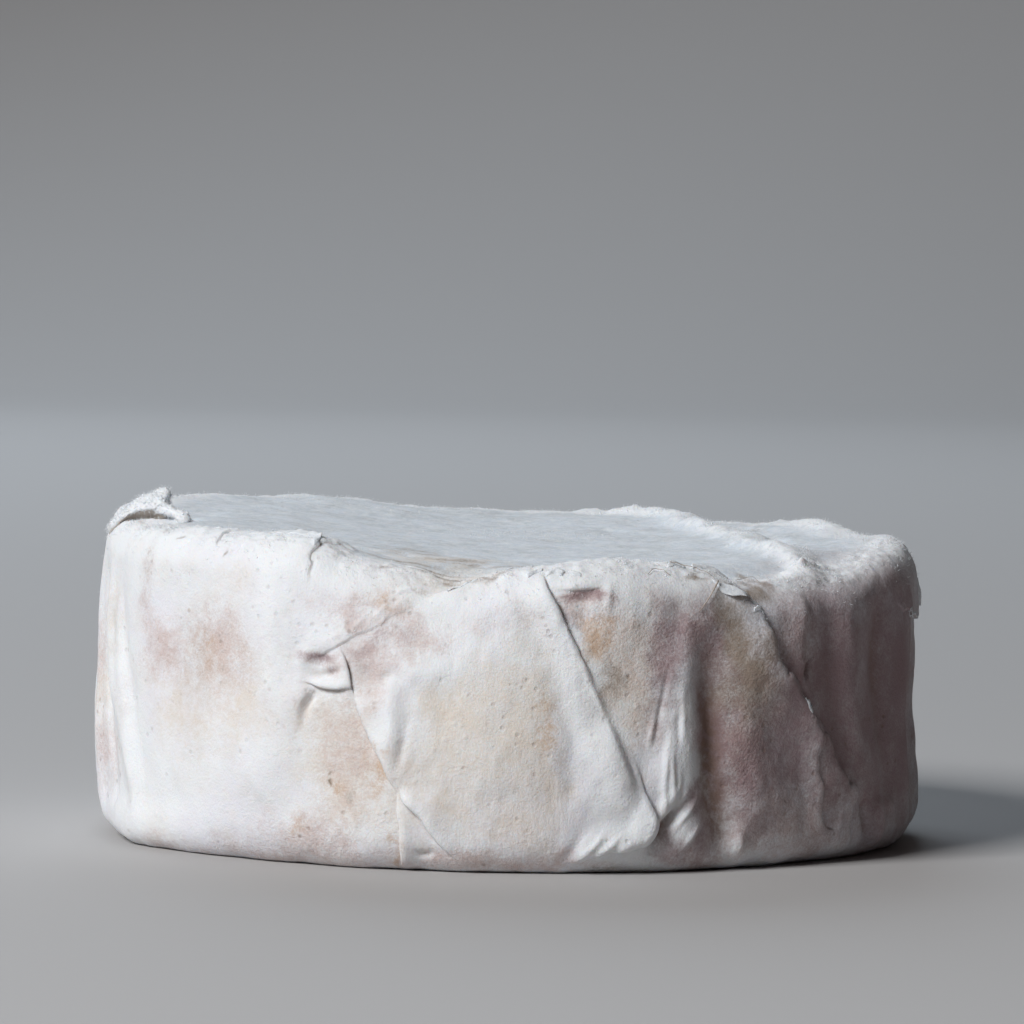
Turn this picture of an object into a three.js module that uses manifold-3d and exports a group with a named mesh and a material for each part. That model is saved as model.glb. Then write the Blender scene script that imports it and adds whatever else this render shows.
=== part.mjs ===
// A small uncut soft-ripened cheese wheel, 110 mm across.
// Its white bloomy rind has set over the folds of the cloth that the cheese was pressed in:
// broad laps run down the side, the foot is drawn in, and the rim is rolled, dented and torn.
// One solid piece. Millimetres, +Z up, front towards -Y, resting on its flat foot.
import * as THREE from 'three';
import { mergeVertices } from 'three/addons/utils/BufferGeometryUtils.js';
import Module from 'manifold-3d';

const wasm = await Module();
wasm.setup();

// Driving dimensions
const WHEEL_RADIUS = 54.5;        // at the side's middle, clear of its folds
const FOOT_RADIUS = 50.5;         // edge of the flat foot
const FOOT_ROUND = 5;             // height of the rounding above the foot
const SHOULDER_RADIUS = 49.5;     // where the rim rounding meets the top
const RIM_ROUND = 4.5;
const RIM_HEIGHT = 38.7;          // nominal height at the middle of the wheel
const BACK_RISE = 0.8;            // extra height at the back edge, less at the front
const LEFT_RISE = 3.6;            // extra height towards the left edge
const TOP_HOLLOW = 0.3;           // sinking of the middle of the top
const BELLY = 0.5;                // how far the low side stands out
const CHAMFER_ANGLE = -13;        // the front of the rim is pressed into a slope, left of the middle
const CHAMFER_WIDTH = 14;         // in degrees
const CHAMFER_DEPTH = 2.4;
const CHAMFER_START = 26;         // height where it begins

// Fineness of the turned blank
const SEGMENTS = 104;
const FOOT_STEPS = 4;
const SIDE_STEPS = 12;
const RIM_STEPS = 5;
const FLAT_RADII = [0, 22, 38, 47];

// Broad swells (+) and troughs (-) down the side: angle from the front in degrees, positive to the
// right, how far the line leans from foot to rim, depth in mm and half width in mm
const FLUTES = [
  { angle: -74, lean: -3, depth: 0.7, width: 4 },
  { angle: -66, lean: -5, depth: -0.8, width: 3.5 },
  { angle: -59, lean: -7, depth: 0.7, width: 4 },
  { angle: -40, lean: 4, depth: -0.7, width: 9 },
  { angle: -27, lean: 2, depth: 0.5, width: 6 },
  { angle: -2, lean: 0, depth: 0.6, width: 12 },
  { angle: 23, lean: 3, depth: 1.2, width: 4 },
  { angle: 29, lean: 1, depth: -1.3, width: 3.5 },
  { angle: 47, lean: -5, depth: 0.9, width: 3.5 },
  { angle: 51, lean: -4, depth: -1.2, width: 3.5 },
  { angle: 58, lean: -3, depth: 0.9, width: 4 },
  { angle: 70, lean: 4, depth: -0.8, width: 5 },
  { angle: 84, lean: -2, depth: 0.7, width: 6 },
  { angle: 104, lean: 5, depth: -0.9, width: 5 },
  { angle: 126, lean: -6, depth: 0.8, width: 6 },
  { angle: 146, lean: 4, depth: -0.9, width: 5 },
  { angle: 170, lean: -4, depth: 0.8, width: 8 },
  { angle: 197, lean: 6, depth: -1.0, width: 5 },
  { angle: 214, lean: 2, depth: 0.8, width: 6 },
  { angle: 238, lean: -5, depth: -0.9, width: 5 },
  { angle: 262, lean: 3, depth: 0.8, width: 6 },
];

// Rolled and torn places of the rim: angle and half width in degrees, rise in mm
const RIM_LUMPS = [
  { angle: -125, width: 22, rise: 0.8 },
  { angle: -76, width: 8, rise: 2.6 },
  { angle: -38, width: 9, rise: 1.5 },
  { angle: -8, width: 6, rise: -1.3 },
  { angle: 14, width: 13, rise: 1.5 },
  { angle: 43, width: 11, rise: -1.8 },
  { angle: 96, width: 20, rise: 1.0 },
  { angle: 180, width: 20, rise: 0.6 },
];
const RIM_LUMP_START = 41;        // radius where a rim lump begins to rise
const RIM_LUMP_FULL = 50;

// Laps of the rind. Each line runs along the free edge of the upper layer through
// [angle in degrees, height in mm]; the layer reaches back from it by [degrees, mm]
// and sinks into the side over that way. The one that reaches nowhere is a small turned-over
// corner, closed straight across from the end of its line to the start.
const LAPS = [
  {
    line: [[-26, 27.5], [-20, 29.8], [-14, 33.2], [-6, 36.4], [4, 38.6]],
    reach: [-8, 8],
    rise: 1.1,
    fade: 8,
  },
  {
    line: [[-23, 28], [-28, 24], [-24.5, 22.2], [-20, 23]],
    reach: null,
    rise: 1.6,
    fade: 9,
  },
  {
    line: [[-22.5, 27], [-20, 20.8], [-16.5, 13.1], [-15, 9], [-14.5, 1.5]],
    reach: [12, 1],
    rise: 1.1,
    fade: 11,
  },
  {
    line: [[5, 36.8], [8, 32], [12, 24.4], [15.5, 16.5], [19, 10], [21.2, 6.7], [19.5, 3.7], [12.5, 1.8]],
    reach: [-13, 0],
    rise: 1.5,
    fade: 12,
  },
  {
    line: [[33, 35.6], [37, 31.6], [42, 24.4], [47.5, 18.4], [51, 13.6], [56.8, 8.6], [55, 1.4]],
    reach: [-14, 0],
    rise: 1.5,
    fade: 13,
  },
  {
    line: [[112, 36], [107, 28], [103, 19], [97, 9], [95, 2]],
    reach: [14, 0],
    rise: 1.1,
    fade: 13,
  },
  {
    line: [[160, 37.5], [153, 30], [150, 20], [141, 11], [139, 2]],
    reach: [14, 0],
    rise: 1.1,
    fade: 13,
  },
  {
    line: [[200, 38.5], [203, 30], [205, 20], [211, 11], [213, 2]],
    reach: [-13, 0],
    rise: 1.0,
    fade: 12,
  },
  {
    line: [[234, 39.5], [238, 31], [242, 21], [249, 12], [252, 2]],
    reach: [-14, 0],
    rise: 1.1,
    fade: 13,
  },
];
const LAP_SINK = 0.3;             // how deep a spent lap lies under the side
const LAP_LINE_STEPS = 16;
const LAP_INNER_RADIUS = 42;      // a lap is cut from a block between these radii
const LAP_OUTER_RADIUS = 66;

const degrees = THREE.MathUtils.degToRad;

// Smooth step from 0 at the first edge to 1 at the second
function ramp(value, from, to) {
  const t = THREE.MathUtils.clamp((value - from) / (to - from), 0, 1);
  return t * t * (3 - 2 * t);
}

// Bell curve, 1 at zero
function bell(distance, width) {
  return Math.exp(-((distance / width) ** 2));
}

// Signed difference of two angles in degrees, between -180 and 180
function turn(from, to) {
  return THREE.MathUtils.euclideanModulo(to - from + 180, 360) - 180;
}

// Half section of the blank, from the middle of the foot to the middle of the top
function blankProfile() {
  const quarter = Math.PI / 2;
  const points = FLAT_RADII.map((radius) => new THREE.Vector2(radius, 0));
  for (let i = 0; i <= FOOT_STEPS; i += 1) {
    const angle = (quarter * i) / FOOT_STEPS;
    const out = (WHEEL_RADIUS - FOOT_RADIUS) * Math.sin(angle);
    points.push(new THREE.Vector2(FOOT_RADIUS + out, FOOT_ROUND * (1 - Math.cos(angle))));
  }
  const sideTop = RIM_HEIGHT - RIM_ROUND;
  for (let i = 1; i < SIDE_STEPS; i += 1) {
    points.push(new THREE.Vector2(WHEEL_RADIUS, THREE.MathUtils.lerp(FOOT_ROUND, sideTop, i / SIDE_STEPS)));
  }
  for (let i = 0; i <= RIM_STEPS; i += 1) {
    const angle = (quarter * i) / RIM_STEPS;
    const out = (WHEEL_RADIUS - SHOULDER_RADIUS) * Math.cos(angle);
    points.push(new THREE.Vector2(SHOULDER_RADIUS + out, sideTop + RIM_ROUND * Math.sin(angle)));
  }
  for (const radius of [...FLAT_RADII].reverse()) {
    points.push(new THREE.Vector2(radius, RIM_HEIGHT));
  }
  return points;
}

// Height of the slanting, hollow top at a place on it
function topHeight(x, y) {
  const radius = Math.hypot(x, y);
  const angle = THREE.MathUtils.radToDeg(Math.atan2(x, -y));
  let height = RIM_HEIGHT + (BACK_RISE * y) / WHEEL_RADIUS;
  height += LEFT_RISE * ramp(-x, 4, 50);
  height -= TOP_HOLLOW * (1 - ramp(radius, 20, 46));
  const nearRim = ramp(radius, RIM_LUMP_START, RIM_LUMP_FULL);
  for (const lump of RIM_LUMPS) {
    height += lump.rise * nearRim * bell(turn(lump.angle, angle), lump.width);
  }
  return height;
}

// How far the side stands out from the blank, in mm
function sideSwell(angle, height) {
  const level = height / RIM_HEIGHT;
  let swell = BELLY * bell(height - 11, 10) - BELLY * ramp(height, 24, RIM_HEIGHT);
  const chamfer = CHAMFER_DEPTH * bell(turn(CHAMFER_ANGLE, angle), CHAMFER_WIDTH);
  swell -= chamfer * ramp(height, CHAMFER_START, RIM_HEIGHT);
  for (const flute of FLUTES) {
    const centre = flute.angle + flute.lean * level;
    const arc = degrees(turn(centre, angle)) * WHEEL_RADIUS;
    swell += flute.depth * bell(arc, flute.width) * (1 - 0.5 * bell(height - RIM_HEIGHT, 7));
  }
  return swell;
}

// Distance in the unrolled side from [angle, height] to a lap's line
function distanceToLine(line, angle, height) {
  const place = new THREE.Vector3(0, height, 0);
  const nearest = new THREE.Vector3();
  const piece = new THREE.Line3();
  let least = Infinity;
  for (let i = 1; i < line.length; i += 1) {
    piece.start.set(degrees(turn(angle, line[i - 1][0])) * WHEEL_RADIUS, line[i - 1][1], 0);
    piece.end.set(degrees(turn(angle, line[i][0])) * WHEEL_RADIUS, line[i][1], 0);
    piece.closestPointToPoint(place, true, nearest);
    least = Math.min(least, nearest.distanceTo(place));
  }
  return least;
}

// The wheel's own shape; with a lap given, its skin lies proud by the lap's rise near the lap's line
function wheelGeometry(lap) {
  const geometry = new THREE.LatheGeometry(blankProfile(), SEGMENTS);
  geometry.rotateX(Math.PI / 2);
  const position = geometry.getAttribute('position');
  for (let i = 0; i < position.count; i += 1) {
    const blank = new THREE.Vector3().fromBufferAttribute(position, i);
    const radius = Math.hypot(blank.x, blank.y);
    const angle = THREE.MathUtils.radToDeg(Math.atan2(blank.x, -blank.y));
    const onSide = ramp(radius, FOOT_RADIUS - 6, WHEEL_RADIUS - 1);
    let out = sideSwell(angle, blank.z) * onSide;
    if (lap) {
      out += lap.rise * (1 - ramp(distanceToLine(lap.line, angle, blank.z), 0, lap.fade));
      out -= LAP_SINK;
    }
    const stretch = radius > 0 ? (radius + out) / radius : 1;
    const height = (blank.z * topHeight(blank.x, blank.y)) / RIM_HEIGHT;
    position.setXYZ(i, blank.x * stretch, blank.y * stretch, height);
  }
  return geometry;
}

// A closed mesh as a solid for joining and cutting
function toSolid(geometry) {
  geometry.deleteAttribute('normal');
  geometry.deleteAttribute('uv');
  const merged = mergeVertices(geometry, 1e-4);
  const mesh = new wasm.Mesh({
    numProp: 3,
    vertProperties: new Float32Array(merged.getAttribute('position').array),
    triVerts: new Uint32Array(merged.getIndex().array),
  });
  return new wasm.Manifold(mesh);
}

// The block a lap is cut from: its outline in the unrolled side, wrapped round the wheel's axis
function lapBlock(lap) {
  const edge = new THREE.SplineCurve(lap.line.map((point) => new THREE.Vector2(...point)));
  const free = edge.getPoints(LAP_LINE_STEPS);
  const reach = lap.reach && new THREE.Vector2(...lap.reach);
  const rooted = reach ? [...free].reverse().map((point) => point.clone().add(reach)) : [];
  const block = new THREE.ExtrudeGeometry(new THREE.Shape([...free, ...rooted]), {
    depth: LAP_OUTER_RADIUS - LAP_INNER_RADIUS,
    bevelEnabled: false,
    steps: 1,
  });
  const position = block.getAttribute('position');
  for (let i = 0; i < position.count; i += 1) {
    const angle = degrees(position.getX(i));
    const radius = LAP_INNER_RADIUS + position.getZ(i);
    position.setXYZ(i, radius * Math.sin(angle), -radius * Math.cos(angle), position.getY(i));
  }
  return block;
}

let wheel = toSolid(wheelGeometry(null));
for (const lap of LAPS) {
  const proudSkin = toSolid(wheelGeometry(lap));
  wheel = wheel.add(proudSkin.intersect(toSolid(lapBlock(lap))));
}

const result = wheel.getMesh();
const geometry = new THREE.BufferGeometry();
geometry.setAttribute('position', new THREE.BufferAttribute(new Float32Array(result.vertProperties), 3));
geometry.setIndex(new THREE.BufferAttribute(new Uint32Array(result.triVerts), 1));
geometry.computeBoundingBox();
const { min, max } = geometry.boundingBox;
geometry.translate(-(min.x + max.x) / 2, -(min.y + max.y) / 2, -min.z);

const rind = new THREE.MeshStandardMaterial({ color: 0xe9e2da, roughness: 0.9, metalness: 0 });
const cheeseWheel = new THREE.Mesh(geometry, rind);
cheeseWheel.name = 'cheese_wheel';

const part = new THREE.Group();
part.add(cheeseWheel);
export default part;
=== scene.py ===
import math
import bmesh
import bpy
import numpy as np
from mathutils import Matrix, Vector
from mathutils.geometry import delaunay_2d_cdt


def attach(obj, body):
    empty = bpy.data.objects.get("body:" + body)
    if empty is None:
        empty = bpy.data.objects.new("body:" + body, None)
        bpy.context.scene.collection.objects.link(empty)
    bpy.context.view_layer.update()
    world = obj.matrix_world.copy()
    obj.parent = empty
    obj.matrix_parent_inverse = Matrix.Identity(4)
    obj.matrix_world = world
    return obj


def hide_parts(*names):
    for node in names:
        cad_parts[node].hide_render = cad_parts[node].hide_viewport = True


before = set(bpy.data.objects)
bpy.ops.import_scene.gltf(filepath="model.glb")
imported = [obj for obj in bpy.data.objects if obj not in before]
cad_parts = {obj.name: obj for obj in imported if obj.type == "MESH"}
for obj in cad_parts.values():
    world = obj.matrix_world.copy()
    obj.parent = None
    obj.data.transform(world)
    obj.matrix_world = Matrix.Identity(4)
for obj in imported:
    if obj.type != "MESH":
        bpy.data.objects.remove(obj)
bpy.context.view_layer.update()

# ---------------------------------------------------------------------------
# The wheel. One uncut soft-ripened cheese, drained in a cloth while the curd was soft, so its rind set
# in broad laps, pleats and small creases; white mould then grew over all of it and dried in patches.
# Sizes are millimetres here and become metres where the mesh is made.
# ---------------------------------------------------------------------------
MM = 0.001
SIDE_RADIUS = 54.5
FOOT_RADIUS = 50.5
FOOT_ROUND = 5.0
SHOULDER_RADIUS = 49.5
RIM_ROUND = 4.5
MID_HEIGHT = 38.7
TOP_LEVEL = 39.2            # height of the top's middle before it is hollowed
TOP_TILT = 0.018            # rise towards the back, in mm for each mm
TOP_LEFT_RISE = 3.2
TOP_HOLLOW = 0.7
RIM_START, RIM_FULL = 41, 49.5      # radii between which the top runs into the uneven rim
FOOT_BAND = 6.5             # flat foot inside its edge that still belongs to the wrapped side
TOP_BAND = 17.0             # top inside the rim that still belongs to the wrapped side
ROUND_STEPS = 40
TURN = 2 * math.pi * SIDE_RADIUS

# How far the side stands out or lies in: low all round, high all round, where the front was
# pressed into a slope, on the right side and at the left of the foot
BELLY, SIDE_LEAN, FRONT_SLOPE, FLAT_RIGHT, FULL_LEFT_FOOT = 0.6, 0.4, 2.4, 0.9, 2.0

# Height of the rim round the wheel: angle from the front (degrees, + to the right), height
RIM_HEIGHTS = [
    (-180, 40.0), (-160, 41.0), (-145, 42.0), (-125, 43.0), (-110, 43.2), (-95, 42.8),
    (-80, 42.0), (-65, 41.5), (-50, 41.6), (-36, 41.8), (-29, 41.0), (-25, 39.6),
    (-20, 38.9), (-15, 38.4), (-10, 37.0), (-6, 36.9), (0, 38.2), (7, 39.0), (14, 39.5),
    (24, 39.0), (31, 38.6), (36, 37.0), (42, 36.5), (52, 36.8), (60, 37.4), (70, 38.7),
    (90, 39.7), (105, 39.8), (118, 39.9), (130, 39.3), (145, 39.2), (158, 39.4),
    (168, 39.6), (180, 40.0),
]


def ramp(value, start, end):
    t = np.clip((value - start) / (end - start), 0.0, 1.0)
    return t * t * (3 - 2 * t)


def bell(distance, width):
    return np.exp(-(distance / width) ** 2)


def curve(points, steps):
    """A smooth curve through the points, all their columns kept, with that many steps between two."""
    p = np.array(points, float)
    p = np.vstack([2 * p[0] - p[1], p, 2 * p[-1] - p[-2]])
    t = np.linspace(0, 1, steps + 1)[:-1, None]
    pieces = []
    for a, b, c, d in zip(p[:-3], p[1:-2], p[2:-1], p[3:]):
        pieces.append(0.5 * (2 * b + (c - a) * t + (2 * a - 5 * b + 4 * c - d) * t ** 2
                             + (3 * b - a - 3 * c + d) * t ** 3))
    return np.vstack(pieces + [p[-2:-1]])


def run_along(line):
    """How far each point of a line is from its first, by the first two columns."""
    return np.concatenate([[0], np.cumsum(np.hypot(*np.diff(line[:, :2], axis=0).T))])


def smooth_line(points, spacing):
    """The smooth curve through the points, resampled evenly by its first two columns."""
    dense = curve(points, 24)
    run = run_along(dense)
    count = max(3, int(round(run[-1] / spacing)) + 1)
    at = np.linspace(0, run[-1], count)
    return np.stack([np.interp(at, run, column) for column in dense.T], 1)


def lattice_value(ix, iy, iz, seed):
    """A random number from -1 to 1 for each lattice corner."""
    h = (ix * 374761393 + iy * 668265263 + iz * 2147483647 + seed * 1274126177) & 0xFFFFFFFF
    h = ((h ^ (h >> 13)) * 1274126177) & 0xFFFFFFFF
    h = h ^ (h >> 16)
    return (h & 0xFFFF) / 32767.5 - 1.0


def noise(x, y, z, seed):
    """Smooth value noise from -1 to 1."""
    fx, fy, fz = np.floor(x), np.floor(y), np.floor(z)
    ix, iy, iz = fx.astype(np.int64), fy.astype(np.int64), fz.astype(np.int64)
    tx, ty, tz = x - fx, y - fy, z - fz
    tx, ty, tz = (t * t * t * (t * (6 * t - 15) + 10) for t in (tx, ty, tz))
    total = 0.0
    for dx in (0, 1):
        wx = tx if dx else 1 - tx
        for dy in (0, 1):
            wy = ty if dy else 1 - ty
            for dz in (0, 1):
                wz = tz if dz else 1 - tz
                total = total + wx * wy * wz * lattice_value(ix + dx, iy + dy, iz + dz, seed)
    return total


def layered_noise(x, y, z, seed, layers):
    total, size, share = 0.0, 1.0, 1.0
    for layer in range(layers):
        total = total + share * noise(x * size, y * size, z * size, seed + layer)
        size *= 2.03
        share *= 0.5
    return total


def wavered(value, x, y, waves):
    """A coordinate pushed to and fro by noise; each wave is [amount, size in x, size in y, seed]."""
    for amount, size_x, size_y, seed in waves:
        value = value + amount * noise(x / size_x, y / size_y, np.zeros(len(x)), seed)
    return value


def half_section():
    """Half section of the wheel: distance along it from the edge of the flat foot, radius and height."""
    quarter = np.linspace(0, math.pi / 2, ROUND_STEPS + 1)
    radius = [0.0, *(FOOT_RADIUS + (SIDE_RADIUS - FOOT_RADIUS) * np.sin(quarter))]
    height = [0.0, *(FOOT_ROUND * (1 - np.cos(quarter)))]
    radius += [*(SHOULDER_RADIUS + (SIDE_RADIUS - SHOULDER_RADIUS) * np.cos(quarter))]
    height += [*(MID_HEIGHT - RIM_ROUND + RIM_ROUND * np.sin(quarter))]
    radius.append(0.0)
    height.append(MID_HEIGHT)
    return run_along(np.column_stack([radius, height])) - FOOT_RADIUS, np.array(radius), np.array(height)


RUN, RUN_RADIUS, RUN_HEIGHT = half_section()
TOP_MIDDLE = RUN[-1]
RUN_LOW = -FOOT_BAND
RUN_HIGH = TOP_MIDDLE - SHOULDER_RADIUS + TOP_BAND
rim_line = smooth_line(RIM_HEIGHTS, 1.0)


def top_height(x, y):
    """Height of the top: a slanting, slightly hollow face that meets the uneven rim."""
    radius = np.hypot(x, y)
    angle = np.degrees(np.arctan2(x, -y))
    tilted = TOP_LEVEL + TOP_TILT * y + TOP_LEFT_RISE * ramp(-x, -5, 50)
    face = tilted - TOP_HOLLOW * (1 - ramp(radius, 15, 44))
    rim = np.interp(angle, rim_line[:, 0], rim_line[:, 1])
    return face + (rim - face) * ramp(radius, RIM_START, RIM_FULL)


def body_place(s, v):
    """The unfolded wheel: s runs round it from the front, v up its section."""
    angle = s / SIDE_RADIUS
    degrees = np.degrees(angle)
    radius = np.interp(v, RUN, RUN_RADIUS)
    height = np.interp(v, RUN, RUN_HEIGHT)
    swell = BELLY * bell(height - 11, 9) - SIDE_LEAN * ramp(height, 24, MID_HEIGHT)
    swell -= FRONT_SLOPE * bell(degrees + 13, 14) * ramp(height, 26, MID_HEIGHT)
    swell -= FLAT_RIGHT * bell(degrees - 92, 25) * bell(height - 15, 8)
    swell += FULL_LEFT_FOOT * bell(degrees + 63, 13) * (1 - ramp(height, 0, 7))
    on_side = ramp(radius, FOOT_RADIUS - 6, SIDE_RADIUS - 1)
    x, y = radius * np.sin(angle), -radius * np.cos(angle)
    lift = top_height(x, y) / MID_HEIGHT
    radius = radius + swell * on_side
    return np.stack([radius * np.sin(angle), -radius * np.cos(angle), height * lift], -1)


# Laps: one layer of rind over another. A line runs down the free edge of the upper layer, through
# [place round the wheel, place up the section, rise]; the upper layer is on the line's right-hand
# side (seen from outside, going from the first point to the last) when hand is 1, left when -1.
# The rise runs out over fade, tear is how ragged the edge is, firm how sharp the edge stands, and the two
# other keys how much shade is painted below it and how much highlight, with the bloom's white, is painted on
# it (pale).
LAPS = {
    "shoulder_over_front": dict(
        hand=-1, fade=7, tear=0.12, firm=0.25, line=[
            (-26.2, 27.6, 0.1), (-25.1, 28.4, 0.3), (-24.3, 29.0, 0.35), (-22.3, 30.1, 0.3),
            (-20.7, 31.4, 0.25), (-18.9, 32.4, 0.2), (-17.2, 33.4, 0.18), (-15.6, 34.6, 0.15),
            (-14.1, 35.8, 0.2), (-12.7, 36.8, 0.15), (-11.1, 38.0, 0.1)]),
    "front_rim": dict(
        hand=1, fade=4, tear=0.2, firm=0.6, line=[
            (-11.6, 37.8, 0.0), (-10.0, 39.2, 0.35), (-8.0, 40.0, 0.5), (-4.9, 41.6, 0.55),
            (-1.7, 42.6, 0.55), (1.4, 43.6, 0.5), (4.4, 44.6, 0.3), (6.5, 45.0, 0.0)]),
    "pleat_foot": dict(
        hand=1, fade=1.5, tear=0.0, line=[
            (-20.3, 25.1, 0.6), (-21.9, 25.0, 0.9), (-23.3, 24.9, 0.95), (-24.7, 24.8, 0.85),
            (-25.9, 24.7, 0.55), (-27.0, 24.6, 0.25)]),
    "pleat_end": dict(
        hand=1, fade=2.5, tear=0.0, line=[
            (-22.1, 30.1, 0.3), (-21.2, 28.4, 0.6), (-20.7, 26.7, 0.7), (-20.3, 25.0, 0.5),
            (-19.8, 23.8, 0.1)]),
    "front_left_edge": dict(
        hand=-1, fade=11, tear=0.05, line=[
            (-20.1, 24.6, 0.2), (-19.4, 23.1, 0.7), (-18.4, 20.8, 0.8),
            (-17.2, 18.9, 0.8), (-15.6, 16.0, 0.75), (-14.5, 13.6, 0.6), (-13.8, 12.2, 0.3)]),
    "tongue_left": dict(
        hand=-1, fade=3, tear=0.05, line=[
            (-13.8, 12.8, 0.1), (-13.7, 11.4, 0.5), (-13.5, 9.4, 0.65), (-13.2, 7.6, 0.65),
            (-13.3, 4.6, 0.6), (-13.7, 1.8, 0.3)]),
    "tongue_right": dict(
        hand=-1, fade=5, tear=0.05, line=[
            (-13.4, 13.4, 0.1), (-13.0, 11.9, 0.6), (-11.8, 10.8, 0.95), (-10.5, 9.6, 1.05),
            (-9.5, 8.2, 1.0), (-8.6, 6.8, 0.85), (-7.2, 5.0, 0.5), (-6.4, 4.0, 0.1)]),
    "front_right_edge": dict(
        hand=1, fade=4.2, tear=0.09, firm=0.7, line=[
            (4.6, 41.4, 0.0), (4.7, 39.9, 0.3), (5.1, 38.5, 0.6), (5.7, 37.0, 0.85),
            (6.5, 35.3, 0.9), (7.8, 32.6, 0.65), (9.0, 30.3, 0.42), (10.3, 27.5, 0.2),
            (11.2, 25.6, 0.0)]),
    "small_overhang": dict(
        hand=-1, fade=2.5, tear=0.0, firm=0.4, line=[
            (5.9, 38.4, 0.1), (7.2, 38.2, 0.3), (9.0, 38.1, 0.4), (11.0, 38.1, 0.35),
            (12.6, 38.3, 0.1)]),
    "right_panel_edge": dict(
        hand=1, fade=7, tear=0.22, firm=1.3, painted_shade=2.0, pale=0.35, line=[
            (29.7, 40.1, 0.1), (31.2, 39.0, 0.6), (33.6, 37.7, 0.95), (34.5, 36.3, 1.2),
            (35.3, 34.8, 1.4), (36.0, 32.9, 1.5), (36.8, 30.6, 1.5), (37.9, 29.0, 1.5),
            (38.9, 27.6, 1.5), (40.2, 26.2, 1.5), (41.5, 24.7, 1.45), (42.6, 22.9, 1.4),
            (43.8, 21.6, 1.3), (45.4, 19.9, 1.3), (46.9, 17.6, 1.3), (48.0, 15.3, 1.3),
            (49.9, 13.2, 1.3), (51.4, 12.2, 1.3), (51.9, 11.0, 1.3), (51.4, 9.9, 1.2),
            (51.5, 7.6, 0.9), (52.4, 5.4, 0.7), (52.6, 3.4, 0.4), (52.2, 1.8, 0.1)]),
    "right_inner": dict(
        hand=1, fade=3, tear=0.1, pale=0.5, line=[
            (42.2, 23.6, 0.1), (43.2, 21.4, 0.35), (44.3, 19.2, 0.45), (43.8, 17.4, 0.4),
            (43.9, 15.6, 0.45), (44.7, 13.3, 0.5), (45.1, 11.0, 0.5), (45.3, 9.2, 0.5),
            (46.3, 7.4, 0.4), (48.4, 6.5, 0.1)]),
    "left_crack": dict(
        hand=1, fade=5, tear=0.4, firm=0.3, painted_shade=4.5, line=[
            (-23.6, 48.4, 0.1), (-25.8, 46.6, 0.35), (-27.4, 44.4, 0.45), (-28.0, 42.3, 0.45),
            (-28.0, 40.4, 0.4), (-27.5, 38.4, 0.25), (-27.2, 36.4, 0.1)]),
    "left_rim_edge": dict(
        hand=-1, fade=5, tear=0.3, line=[
            (-24.6, 48.8, 0.2), (-28.5, 48.4, 0.55), (-34.0, 47.6, 0.65), (-39.0, 47.6, 0.7),
            (-43.6, 47.2, 0.65), (-48.0, 45.6, 0.6), (-52.0, 44.6, 0.55), (-56.0, 43.0, 0.45),
            (-61.0, 42.2, 0.3), (-66.0, 42.0, 0.0)]),
    "left_arc": dict(
        hand=1, fade=3, tear=0.1, line=[
            (-44.4, 46.6, 0.1), (-45.2, 44.4, 0.3), (-45.0, 42.4, 0.35), (-44.2, 40.4, 0.3),
            (-43.0, 39.2, 0.1)]),
    "right_shoulder": dict(
        hand=-1, fade=8, tear=0.3, line=[
            (66.0, 35.0, 0.0), (71.0, 33.4, 0.3), (77.0, 32.2, 0.5), (84.0, 31.4, 0.65),
            (91.0, 31.6, 0.6), (98.0, 33.2, 0.4), (104.0, 35.4, 0.0)]),
    "back_first": dict(
        hand=-1, fade=9, tear=0.2, line=[
            (107, 41.6, 0.2), (104, 36.0, 0.9), (101, 29.0, 1.3), (98, 21.0, 1.3), (94, 13.5, 1.2),
            (91.5, 7.0, 1.0), (90.5, 1.4, 0.2)]),
    "back_second": dict(
        hand=-1, fade=10, tear=0.15, line=[
            (149, 42.5, 0.2), (147, 38.0, 0.8), (143.5, 31.0, 1.3), (141.5, 23.0, 1.4),
            (136, 15.5, 1.3), (132.5, 8.0, 1.0), (132, 1.4, 0.2)]),
    "back_third": dict(
        hand=1, fade=9, tear=0.2, line=[
            (-152, 42.0, 0.2), (-150, 36.5, 0.9), (-147.5, 29.0, 1.3), (-146.5, 21.0, 1.3),
            (-142, 13.5, 1.2), (-139.5, 7.5, 1.0), (-139.6, 1.2, 0.2)]),
    "back_fourth": dict(
        hand=1, fade=9, tear=0.15, line=[
            (-120, 42.6, 0.2), (-117, 37.0, 0.9), (-113, 29.5, 1.3), (-110.5, 21.5, 1.3),
            (-105.5, 14.0, 1.2), (-103, 7.5, 0.9), (-102.5, 1.2, 0.2)]),
    "back_tuck": dict(
        hand=-1, fade=4, tear=0.05, line=[
            (-134, 30.0, 0.1), (-130.5, 27.6, 0.8), (-126.5, 26.4, 1.0), (-122.5, 26.8, 0.8),
            (-118.8, 28.6, 0.2)]),
    "back_pleat": dict(
        hand=-1, fade=3.5, tear=0.05, line=[
            (118, 33.5, 0.1), (121, 30.8, 0.8), (125.5, 29.4, 1.0), (130.5, 29.8, 0.8),
            (134, 31.8, 0.2)]),
    "front_right_foot": dict(
        hand=1, fade=4.2, tear=0.09, firm=0.7, line=[
            (16.2, 16.6, 0.0), (17.1, 14.6, 0.2), (17.6, 12.9, 0.35), (18.3, 11.2, 0.7),
            (18.9, 9.6, 1.0), (19.0, 8.4, 1.2), (18.8, 7.3, 1.25), (18.0, 6.4, 1.25),
            (16.2, 5.8, 1.15), (13.2, 5.3, 0.95), (10.6, 4.2, 0.7), (8.8, 2.6, 0.3)]),
}

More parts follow.
